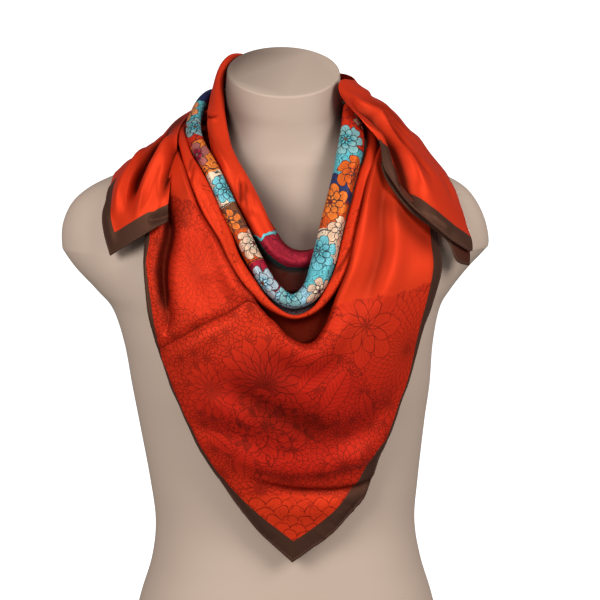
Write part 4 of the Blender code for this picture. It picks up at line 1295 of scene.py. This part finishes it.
silk = {
    "orange": (0.70, 0.042, 0.010),
    "deep": (0.50, 0.014, 0.007),
    "metallic": 0.26,
    "line": (0.11, 0.006, 0.004),
    "patch": (0.26, 0.010, 0.006),
    # the colour of painted shade in folds and along the pressed crease
    "paintedShadeColour": (0.045, 0.0015, 0.001),
    "brown": (0.066, 0.030, 0.020),
    "roughness": 0.5,
    "roughSpread": 0.12,
    "specular": 0.25,
    "specularTint": (1.0, 0.34, 0.14, 1.0),
    "cloudSize": 60.0,
    "cloudTone": 0.12,
    "paintedShadeStrength": 0.92,
    "borderSoft": 0.5,
    "twillPitch": 1.7,
    "twillTone": 0.07,
    "twillHeight": 0.012,
    "crinkleSize": 34.0,
    "crinkleHeight": 0.5,
    "pressed": 1.5,  # how much deeper a pressed crease is than the crinkles
    "plainCloud": 90.0,
    "plainDeep": 0.5,
}


def raised(height, distance, values=None, strength=1.0):
    # a bump as high as that many millimetres
    values = {"Height": height, "Strength": strength, "Distance": distance * mm, **(values or {})}
    return height.node("Bump", {}, values)


def silkFinish(name, paint):
    material, shader, shade = newFinish(name)
    place = clothPlace(shade)
    x, y = apart(place)
    border = carried(shade, "border")
    twill = ((x - y) * (2 * math.pi / silk["twillPitch"])).do("SINE")
    colour, pressed = paint(place, x, y)
    cloud = noise(place, silk["cloudSize"]) - 0.5
    tone = 1 + twill * silk["twillTone"] + cloud * silk["cloudTone"]
    inBorder = ((border + silk["borderSoft"] / 2) * (1 / silk["borderSoft"])).clamped()
    colour = inBorder.blend(colour, silk["brown"])
    # painted shade in folds, from each place's shade mark
    colour = (carried(shade, "shade") * silk["paintedShadeStrength"]).blend(colour, silk["paintedShadeColour"])
    crinkle = noise(place, silk["crinkleSize"], 3.0)
    if pressed:
        crinkle = crinkle - pressed * silk["pressed"]
    bump = raised(crinkle, silk["crinkleHeight"])
    feed(shader, {
        "Base Color": tone.node("VectorMath", {"operation": "SCALE"}, {0: colour, "Scale": tone}),
        "Roughness": silk["roughness"] + cloud * silk["roughSpread"],
        "Normal": raised(twill, silk["twillHeight"], {"Normal": bump}),
        "Metallic": silk["metallic"],
        "Specular IOR Level": silk["specular"],
        "Specular Tint": silk["specularTint"],
    })
    return material


def plainPaint(place, x, y):
    cloud = noise(place, silk["plainCloud"], 1.0)
    return (cloud * silk["plainDeep"]).blend(silk["orange"], silk["deep"]), None


# The drawn flowers of the bib, by the turn and drop of their middles; sizes on the flat cloth.
bibFlowers = [
    {"at": (-36, 222), "petals": 24, "ring": 5.6, "rings": 7, "blunt": 2.0, "twist": 0.05,
     "line": 0.5, "tone": 0.6, "root": 0.0, "sway": True, "ruffle": True},
    {"at": (51, 300), "petals": 36, "ring": 4.8, "rings": 11, "blunt": 1.8, "twist": -0.02,
     "line": 0.5, "tone": 0.8, "root": 0.0, "sway": True},
    {"at": (33, 268), "petals": 8, "ring": 13, "rings": 3, "blunt": 1.7, "turn": 0.3,
     "line": 0.75, "tone": 1.0, "ribs": 5, "ribEnd": 0.5, "sway": True},
    {"at": (-30, 330), "petals": 15, "ring": 9, "rings": 3, "blunt": 2.0, "turn": 0.2,
     "line": 0.6, "tone": 0.85, "root": 0.3, "sway": True},
    {"at": (-8, 318), "petals": 19, "ring": 11, "rings": 4, "blunt": 1.7,
     "line": 0.7, "tone": 1.0, "root": 0.5, "ribs": 2, "ribEnd": 0.3, "sway": True},
    {"at": (-8, 360), "petals": 9, "ring": 7.5, "rings": 5, "blunt": 2.2, "twist": 0.03,
     "line": 0.8, "tone": 1.0, "sway": True, "ruffle": True},
    {"at": (-14, 424), "petals": 14, "ring": 6, "rings": 3, "blunt": 2.0,
     "line": 0.65, "tone": 1.0, "sway": True},
    {"at": (25, 397), "petals": 11, "ring": 4.8, "rings": 4, "blunt": 2.0, "twist": 0.05,
     "line": 0.65, "tone": 1.0},
    {"at": (46, 352), "petals": 12, "ring": 6, "rings": 3, "blunt": 2.0,
     "line": 0.6, "tone": 0.9, "sway": True},
]
bibLeaves = [
    {"at": (5, 327), "length": 52, "width": 20, "turn": -42, "bend": 8, "pitch": 4.6},
    {"at": (14, 346), "length": 48, "width": 22, "turn": -54, "bend": -8, "pitch": 5.0},
    {"at": (-21, 414), "length": 30, "width": 22, "turn": -80, "bend": 4, "pitch": 3.6},
    {"at": (2, 300), "length": 34, "width": 13, "turn": -20, "bend": 5, "pitch": 3.8},
    {"at": (38, 362), "length": 34, "width": 15, "turn": -110, "bend": 6, "pitch": 4.2},
    {"at": (-36, 372), "length": 34, "width": 14, "turn": 30, "bend": 6, "pitch": 4.0},
]


def pathDistance(x, y, points):
    # how far a place is from a line through the points
    nearest = None
    for (x0, y0), (x1, y1) in zip(points, points[1:]):
        dx, dy = x1 - x0, y1 - y0
        along = (((x - x0) * dx + (y - y0) * dy) / (dx * dx + dy * dy)).clamped()
        offX, offY = x - x0 - along * dx, y - y0 - along * dy
        far = (offX * offX + offY * offY).do("SQRT")
        nearest = far.do("MINIMUM", nearest) if nearest else far
    return nearest


def contours(place, size, count, width, soft=0.05):
    # lines that wander like those of a map, for ruffled drawing
    height = noise(place, size, 1.0) * count
    return (height.do("FRACT") - 0.5).stroke(width, soft)


def scales(x, y, wide, high, line, radius=0.52):
    # rows of round scales, each row half a scale further along, with the radius as a share of the width
    row = (y / high).do("FLOOR")
    over = ((x / wide + row * 0.5).do("FRACT") - 0.5) * wide
    up = (y / high).do("FRACT") * high
    return ((over * over + up * up).do("SQRT") - wide * radius).stroke(line)


# A sway has its size and reach, ruffles have their size, count and width of line, and scales have
# their width, height and line.
bibDrawing = {
    "sway": (16.0, 1.6),
    "ruffleSways": [(9.0, 2.6), (22.0, 4.0)],
    # the field of small flowers, one to a cell
    "cell": 19.0,
    "random": 0.85,
    "fieldFlower": {"petals": 10, "ring": 3.9, "rings": 99, "heart": 2, "blunt": 1.9, "line": 0.55},
    "fieldRuffles": (12.0, 9.0, 0.14),
    "fieldTone": 0.75,
    "ruffles": (15.0, 9.0, 0.16),
    "ruffleTone": 0.9,
    # rounded petals, like scales, towards the corner
    "scales": (15.0, 8.0, 0.8),
    "scaleRuffles": (20.0, 9.0, 0.08),
    "scaleTone": 0.6,
    "scalesFrom": (424, 4, 0.12),  # the drop, where it is highest, and how much it falls to the sides
    "scalesSoft": 0.2,
    # plain cloth above the flowers, down to this drop, and lower to the right of this place
    "plainTo": 158,
    "lowerFrom": -35,
    "plainMost": 243.0,
    "plainWaves": (14.0, 16),
    "plainSoft": 0.4,
    # dark patches in the middle, and painted shade that deepens the colour there
    "patchSize": 11.0,
    "patchFrom": 0.54,
    "patchSharp": 14,
    "patchAt": (-6, 362),
    "patchReach": (62, 40),
    "patchSoft": 3,
    "patchTone": 0.85,
    "coreAt": (4, 352),
    "coreReach": (120, 78),
    "coreFull": 1.1,
    "coreSoft": 2,
    "paintedCoreShade": 0.5,
    "cloud": 45.0,
    "cloudTone": 0.4,
    # the drawn ground is deeper in colour; at the corner it is lighter again, partly the print's own ground
    # and partly painted light
    "drawnTone": 0.45,
    "cornerPrintAndPaintedLight": 0.35,
    "lineTone": 0.8,
    # the pressed crease, with a painted shade line along it, and a faint one down from it
    "pressLine": (1.0, 0.7),
    "paintedPressShade": 0.75,
    "pressDepth": (1.4, 1.2),
    "faintDepth": (0.8, 0.8),
    "faintTone": 0.35,
}


def fieldLines(place, drawn):
    # a field of small flowers with ruffles between
    cells = {"Vector": drawn, "Scale": 1 / bibDrawing["cell"], "Randomness": bibDrawing["random"]}
    found = place.node("TexVoronoi", {"voronoi_dimensions": "2D"}, cells, 2)
    off = place.node("VectorMath", {"operation": "SUBTRACT"}, {0: drawn, 1: found})
    fieldX, fieldY = apart(off)
    lines, _, near = petals(fieldX, fieldY, {**plainFlower, **bibDrawing["fieldFlower"]})
    ruffles = contours(drawn, *bibDrawing["fieldRuffles"]) * bibDrawing["fieldTone"]
    return lines.do("MAXIMUM", ruffles), near


def drawnPaint(guide):
    drawing = bibDrawing

    def middle(turn, drop):
        return float(across(guide, turn, drop)), float(drop)

    def roundTo(x, y, name):
        # how far out a place is in an oval, from 0 at its middle to 1 at its edge
        cx, cy = middle(*drawing[name + "At"])
        wide, high = drawing[name + "Reach"]
        return ((x - cx) * (x - cx) / wide**2 + (y - cy) * (y - cy) / high**2).do("SQRT")

    def paint(place, x, y):
        drawn = swayed(place, *drawing["sway"])
        ruffled = swayedBy(place, drawing["ruffleSways"])
        x1, y1 = apart(drawn)
        x2, y2 = apart(ruffled)
        lines, near = fieldLines(place, drawn)
        root = near * 0
        for flower in bibFlowers:
            flower = {**plainFlower, **flower}
            cx, cy = middle(*flower["at"])
            fx, fy = (x2, y2) if flower["sway"] else (x1, y1)
            one, inside, near = petals(fx - cx, fy - cy, flower)
            if flower["ruffle"]:
                one = one.do("MAXIMUM", contours(ruffled, *drawing["ruffles"]) * drawing["ruffleTone"])
            lines = lines + inside * (one * flower["tone"] - lines)
            root = root + inside * (near * flower["root"] - root)
        for shape in bibLeaves:
            cx, cy = middle(*shape["at"])
            one, inside = leaf(x1 - cx, y1 - cy, shape)
            lines = lines + inside * (one - lines)
            root = root * (1 - inside)

        ruffles = contours(ruffled, *drawing["scaleRuffles"]) * drawing["scaleTone"]
        scale = scales(x2, 0 - y2, *drawing["scales"]).do("MAXIMUM", ruffles)
        drop, peak, fall = drawing["scalesFrom"]
        low = ((y1 - (drop + abs(x1 - peak) * fall)) * drawing["scalesSoft"]).clamped()
        lines = lines + low * (scale - lines)

        top = drawing["plainTo"] + (x1 - drawing["lowerFrom"]).do("MAXIMUM", 0.0)
        size, high = drawing["plainWaves"]
        top = top.do("MINIMUM", drawing["plainMost"]) + (noise(place, size) - 0.5) * high
        covered = ((y - top) * drawing["plainSoft"]).clamped()
        lines = lines * covered

        patches = (noise(drawn, drawing["patchSize"]) - drawing["patchFrom"]) * drawing["patchSharp"]
        spread = roundTo(x, y, "patch")
        patches = patches.clamped() * ((1 - spread) * drawing["patchSoft"]).clamped()
        cloud = noise(place, drawing["cloud"], 1.0)
        core = ((drawing["coreFull"] - roundTo(x, y, "core")) * drawing["coreSoft"]).clamped()
        ground = (cloud * drawing["cloudTone"]).blend(silk["orange"], silk["deep"])
        # the drawn ground deeper, lighter at the corner partly as painted light, and painted shade in the
        # middle
        deep = covered * (drawing["drawnTone"] - low * drawing["cornerPrintAndPaintedLight"]) + core * drawing["paintedCoreShade"]
        ground = deep.clamped().blend(ground, silk["deep"])
        ground = (root * covered).clamped().blend(ground, silk["line"])
        ground = (patches * covered * drawing["patchTone"]).blend(ground, silk["patch"])
        colour = (lines * drawing["lineTone"]).blend(ground, silk["line"])

        paths = placed(guide, [(bib["press"],), (bib["faintPress"],)])
        press, faint = (pathDistance(x, y, line) for line, in paths)
        # painted shade along the pressed crease
        colour = (press.stroke(*drawing["pressLine"]) * drawing["paintedPressShade"]).blend(colour, silk["paintedShadeColour"])
        depth = press.stroke(*drawing["pressDepth"])
        return colour, depth + faint.stroke(*drawing["faintDepth"]) * drawing["faintTone"]

    return paint


printColours = {
    "turquoise": (0.11, 0.47, 0.52),
    "sky": (0.30, 0.56, 0.66),
    "cream": (0.76, 0.58, 0.41),
    "orange": (0.62, 0.085, 0.012),
    "gold": (0.80, 0.21, 0.030),
    "crimson": (0.34, 0.010, 0.032),
    "brown": (0.17, 0.060, 0.026),
    "blue": (0.020, 0.040, 0.13),
    "teal": (0.020, 0.12, 0.10),
    "red": (0.62, 0.030, 0.008),
    "ink": (0.012, 0.016, 0.026),
}
# where each colour starts along the fold, and its drawing: 0 ruffles, 1 scales
printBands = [
    (-400, "teal", 0), (-352, "cream", 0), (-318, "orange", 1), (-276, "blue", 1),
    (-244, "turquoise", 0), (-212, "red", 1), (-176, "gold", 0), (-140, "cream", 0),
    (-104, "brown", 1), (-78, "orange", 0), (-42, "crimson", 1), (-8, "sky", 0),
    (30, "turquoise", 0), (62, "cream", 0), (92, "orange", 0), (124, "blue", 1),
    (144, "turquoise", 0), (178, "red", 1), (236, "gold", 0), (280, "turquoise", 1),
    (322, "crimson", 1), (360, "cream", 0),
]
# along the fold, across it, radius, petals, rings, colours of the petals and of the heart
printFlowers = [
    (-228, 5, 15, 6, 3, "gold", "cream"), (-197, -5, 15, 7, 3, "turquoise", "gold"),
    (-162, 6, 14, 5, 2, "crimson", "cream"), (-118, -5, 15, 7, 3, "turquoise", "sky"),
    (-88, 6, 12, 6, 2, "gold", "crimson"), (-58, -6, 17, 7, 3, "cream", "orange"),
    (-20, 6, 16, 6, 3, "sky", "gold"), (8, -7, 15, 7, 3, "turquoise", "cream"),
    (34, 8, 13, 6, 2, "cream", "crimson"), (68, -8, 18, 7, 3, "turquoise", "sky"),
    (94, 9, 15, 6, 3, "cream", "gold"), (120, -8, 18, 7, 3, "gold", "red"),
    (152, 8, 18, 6, 3, "orange", "gold"), (184, -8, 17, 7, 3, "turquoise", "cream"),
    (214, 9, 13, 5, 2, "cream", "gold"), (262, 0, 16, 6, 3, "crimson", "cream"),
    (306, 2, 16, 7, 3, "orange", "cream"), (-290, 0, 16, 7, 3, "gold", "crimson"),
    (-334, 2, 16, 6, 3, "turquoise", "gold"),
]
printDrawing = {
    "reach": 400,  # the bands run this far each way from the front
    "bandSways": [(10.0, 2.6), (30.0, 5.0)],
    "scaleSways": [(9.0, 1.3)],
    "flowerSways": [(5.0, 1.0), (14.0, 2.5)],
    "ruffles": (8.0, 7.0, 0.22),
    "scales": (11.0, 6.5, 0.7),
    "bandLine": 1.2,
    "flower": {"blunt": 3.2, "ribs": 5, "ribEnd": 0.45, "ribTone": 0.9, "line": 0.9, "twist": 0.03},
    "turning": 0.1,  # how much further round each flower starts, for each millimetre along
    "heart": (0.86, 20),  # how near the middle the heart starts, and how sharp its edge is
    "deeper": (0.62, 9),
    "deeperTone": 0.2,
    "lineTone": 0.93,
}


def printPaint(place, x, y):
    # bands of the bright colours along the fold, with flowers across them, in dark outlines
    drawing, reach = printDrawing, printDrawing["reach"]
    drawn = swayedBy(place, drawing["bandSways"])
    wavy = swayedBy(place, drawing["scaleSways"])
    x1, _ = apart(drawn)
    x2, y2 = apart(wavy)
    along = (x1 + reach) / (2 * reach)

    def bands(colours):
        starts = [(start + reach) / (2 * reach) for start, _, _ in printBands]
        stops = list(zip(starts, colours))
        return place.node("ValToRGB", {"steps": "CONSTANT", "stops": stops}, {0: along})

    ground = bands([printColours[colour] for _, colour, _ in printBands])
    kind = bands([(kind, kind, kind) for _, _, kind in printBands])
    kind = place.node("SeparateColor", {}, {0: kind})
    ruffles = contours(drawn, *drawing["ruffles"])
    frill = swayedBy(place, drawing["flowerSways"])
    x3, y3 = apart(frill)
    lines = ruffles + kind * (scales(x2, y2, *drawing["scales"]) - ruffles)
    for start, _, _ in printBands[1:]:
        lines = lines.do("MAXIMUM", (x1 - start).stroke(drawing["bandLine"]))
    for run, girth, radius, count, rings, petal, heart in printFlowers:
        shape = {**plainFlower, **drawing["flower"], "petals": count, "rings": rings,
                 "ring": radius / rings, "turn": run * drawing["turning"]}
        one, inside, near = petals(x3 - run, y3 - girth, shape)
        start, sharp = drawing["heart"]
        middle = ((near - start) * sharp).clamped()
        start, sharp = drawing["deeper"]
        deeper = ((start - near) * sharp).clamped() * drawing["deeperTone"]
        flower = deeper.blend(printColours[petal], printColours[heart])
        flower = middle.blend(flower, printColours[heart])
        ground = inside.blend(ground, flower)
        lines = lines + inside * (one - lines)
    return (lines * drawing["lineTone"]).blend(ground, printColours["ink"]), None


outerDrawing = {
    "sway": (16.0, 1.6),
    "ruffles": (11.0, 9.0, 0.16),
    "wave": (20.0, 40),
    "reach": 150,  # how far each way from the front the flowers come round
    "soft": 0.15,
    "tone": 0.5,
}


def outerPaint(place, x, y):
    # plain, with the tonal flowers coming round its lower part
    drawing = outerDrawing
    plain, _ = plainPaint(place, x, y)
    lines = contours(swayed(place, *drawing["sway"]), *drawing["ruffles"])
    size, high = drawing["wave"]
    wave = (noise(place, size, 1.0) - 0.5) * high
    reach = ((drawing["reach"] + wave - abs(x)) * drawing["soft"]).clamped()
    return (lines * reach * drawing["tone"]).blend(plain, silk["line"]), None


collarDrawing = {
    "wave": (8.0, 10),
    "from": -24,  # where along the fold the print starts
    "lean": (7, 1.2),  # past this place across the fold it starts sooner, by so much
    "edgeWidth": 4,
    "edgeLine": 0.9,
    "edgeSharp": 2,
    "edge": (0.13, 0.45, 0.48),
    "ink": (0.012, 0.02, 0.03),
    "lowFrom": 10,
    "lowWave": 0.4,
    "lowSharp": 1.5,
    # the print's crimson, and further down its dark teal, darkened nearly to black as painted shade for the
    # deep shade there too
    "high": (0.30, 0.012, 0.030),
    "low": (0.012, 0.055, 0.050),
    "ruffles": (14.0, 8.0, 0.16),
    "ruffleTone": 0.7,
    "ruffle": (0.05, 0.004, 0.010),
}


def collarPaint(place, x, y):
    # plain round the neck, with the edge of the print showing in front
    drawing = collarDrawing
    plain, _ = plainPaint(place, x, y)
    size, high = drawing["wave"]
    wave = (noise(place, size, 1.0) - 0.5) * high
    start, lean = drawing["lean"]
    past = x - drawing["from"] + (y - start).do("MAXIMUM", 0.0) * lean + wave
    # lower down, the dark teal print, partly painted shade
    low = ((y - drawing["lowFrom"] + wave * drawing["lowWave"]) * drawing["lowSharp"]).clamped()
    lines = contours(place, *drawing["ruffles"]) * drawing["ruffleTone"]
    inside = low.blend(drawing["high"], drawing["low"])
    inside = lines.blend(inside, drawing["ruffle"])
    beyond = past - drawing["edgeWidth"]
    colour = (beyond * drawing["edgeSharp"]).clamped().blend(drawing["edge"], inside)
    edges = past.stroke(drawing["edgeLine"]).do("MAXIMUM", beyond.stroke(drawing["edgeLine"]))
    colour = edges.blend(colour, drawing["ink"])
    return (past * drawing["edgeSharp"]).clamped().blend(plain, colour), None


formPlastic = {
    "light": (0.565, 0.425, 0.335),
    "dark": (0.530, 0.400, 0.318),
    # the colour of the painted contact shade beside the folds
    "paintedContactShade": (0.055, 0.022, 0.015),
    "cloudSize": 1 / 9,  # in metres
    "grainSize": 1 / 900,
    "roughness": 0.5,
    "cloudRough": 0.08,
    "grainRough": 0.04,
    "grainHeight": 0.03,
    "grainStrength": 0.5,
    "specular": 0.35,
}


def formFinish(name, finish):
    material, shader, shade = newFinish(name)
    place = shade.node("TexCoord", {}, {}, 3)
    cloud = noise(place, finish["cloudSize"])
    grain = noise(place, finish["grainSize"])
    colour = cloud.blend(finish["light"], finish["dark"])
    feed(shader, {
        # painted contact shade beside the folds round the neck
        "Base Color": carried(shade, "shade").blend(colour, finish["paintedContactShade"]),
        "Roughness": finish["roughness"] + cloud * finish["cloudRough"] + grain * finish["grainRough"],
        "Normal": raised(grain, finish["grainHeight"], strength=finish["grainStrength"]),
        "Specular IOR Level": finish["specular"],
    })
    return material


def plainFinish(name, values):
    material, shader, _ = newFinish(name)
    feed(shader, values)
    return material


# studio

studio = {
    "target": (0.0146, 0, 0.4154),
    "distance": 2.6,
    "elevation": 8.0,
    "azimuth": -3.0,
    "lens": 160.0,
    "sensor": 36,
    "farthest": 50,
    # name, turn from the front and angle above level, distance, width, power
    "lights": [
        ("leftSoftbox", -36, 20, 2.4, 1.1, 38),
        ("rightSoftbox", 42, 26, 2.4, 1.1, 38),
    ],
    "world": 0.21,
    "sweepRadius": 4.0,
    "sweepBend": 1.2,
    "bendAngles": range(10, 91, 10),
    "sweepSides": 96,
    "wall": 6,
    "paper": {
        "Base Color": (0.85, 0.85, 0.85, 1),
        "Roughness": 0.9,
        "Emission Color": (1, 1, 1, 1),
        "Emission Strength": 0.95,
    },
}


def outward(turn, up):
    # a direction by its turn from the front and its angle above level
    turn, up = math.radians(turn), math.radians(up)
    return Vector((math.sin(turn) * math.cos(up), -math.cos(turn) * math.cos(up), math.sin(up)))


def buildStudio(shape):
    scene = bpy.context.scene
    target = Vector(shape["target"])
    back = outward(shape["azimuth"], shape["elevation"])
    camera = bpy.data.objects.new("camera", bpy.data.cameras.new("camera"))
    scene.collection.objects.link(camera)
    camera.location = target + back * shape["distance"]
    camera.rotation_euler = back.to_track_quat("Z", "Y").to_euler()
    camera.data.lens = shape["lens"]
    camera.data.sensor_width = shape["sensor"]
    camera.data.clip_end = shape["farthest"]
    scene.camera = camera
    for name, turn, up, far, size, power in shape["lights"]:
        light = bpy.data.lights.new(name, "AREA")
        light.size = size
        light.energy = power
        lamp = bpy.data.objects.new(name, light)
        scene.collection.objects.link(lamp)
        away = outward(turn, up)
        lamp.location = target + away * far
        lamp.rotation_euler = away.to_track_quat("Z", "Y").to_euler()
    world = bpy.data.worlds.new("studio")
    world.use_nodes = True
    feed(world.node_tree.nodes["Background"], {"Strength": shape["world"], "Color": (1, 1, 1, 1)})
    scene.world = world
    scene.view_settings.view_transform = "Standard"

    # a pale floor that curves up into a wall all round
    bm = bmesh.new()
    bend = shape["sweepBend"]
    floor = shape["sweepRadius"] - bend
    profile = [bm.verts.new((mm, 0, 0)), bm.verts.new((floor, 0, 0))]
    for angle in np.radians(shape["bendAngles"]):
        profile.append(bm.verts.new((floor + bend * math.sin(angle), 0, bend * (1 - math.cos(angle)))))
    profile.append(bm.verts.new((shape["sweepRadius"], 0, shape["wall"])))
    edges = [bm.edges.new(pair) for pair in zip(profile, profile[1:])]
    bmesh.ops.spin(bm, geom=profile + edges, cent=(0, 0, 0), axis=(0, 0, 1), angle=2 * math.pi,
                   steps=shape["sweepSides"], use_merge=True)
    bmesh.ops.remove_doubles(bm, verts=bm.verts, dist=2 * mm)
    bmesh.ops.recalc_face_normals(bm, faces=bm.faces)
    bmesh.ops.reverse_faces(bm, faces=bm.faces)
    mesh = bpy.data.meshes.new("sweep")
    bm.to_mesh(mesh)
    bm.free()
    mesh.shade_smooth()
    sweep = bpy.data.objects.new("sweep", mesh)
    scene.collection.objects.link(sweep)
    sweep.visible_diffuse = False
    sweep.visible_glossy = False
    mesh.materials.append(plainFinish("studioPaper", shape["paper"]))


buildStudio(studio)
print("studio ready")

guide = Guide(guideShape)
beige = formFinish("formPlastic", formPlastic)
plainSilk = silkFinish("plainSilk", plainPaint)
drawnSilk = silkFinish("drawnSilk", drawnPaint(guide))
printedSilk = silkFinish("printedSilk", printPaint)
outerSilk = silkFinish("outerSilk", outerPaint)
collarSilk = silkFinish("collarSilk", collarPaint)
thread = plainFinish("hemThread", hem["thread"])
print("finishes ready")

torso = buildTorso(guide, torsoForm, beige)
print("torso form built")
bibCloth, bibGrid = buildBib(guide, bib, drawnSilk)
outerFold = buildRoll("outerFold", "outer_roll", guide, outerRoll, outerSilk)
printFold = buildRoll("printFold", "print_roll", guide, printRoll, printedSilk)
collarFold = buildRoll("collarFold", "collar_roll", guide, collarRoll, collarSilk)
rightEnd, rightHemmed = buildEnd(
    "rightEndCloth", "right_shoulder_end", guide, rightShoulderEnd, plainSilk
)
leftEnd, leftHemmed = buildEnd("leftEndCloth", "left_shoulder_end", guide, leftShoulderEnd, plainSilk)
leftUnder, underGrid = buildUnderLayer("leftUnderLayer", guide, underLayer, plainSilk)
print("cloth built")

rightEnding = rightHemmed[::-1, ::-1].swapaxes(0, 1)  # the same cloth with its tip as the edge
rowsIn = hem["rowsIn"]
bibHem = buildHem("bibHem", bibGrid[:, ::-1], rowsIn, plainSilk, thread)
rightHem = buildHem("rightEndHem", rightHemmed[:, ::-1], rowsIn, plainSilk, thread)
rightTip = buildHem("rightTipHem", rightEnding, rowsIn, plainSilk, thread)
leftHem = buildHem("leftEndHem", leftHemmed, rowsIn, plainSilk, thread)
underHem = buildHem("leftUnderHem", underGrid[:, ::-1], underLayer["rowsIn"], plainSilk, thread)
print("hems sewn")
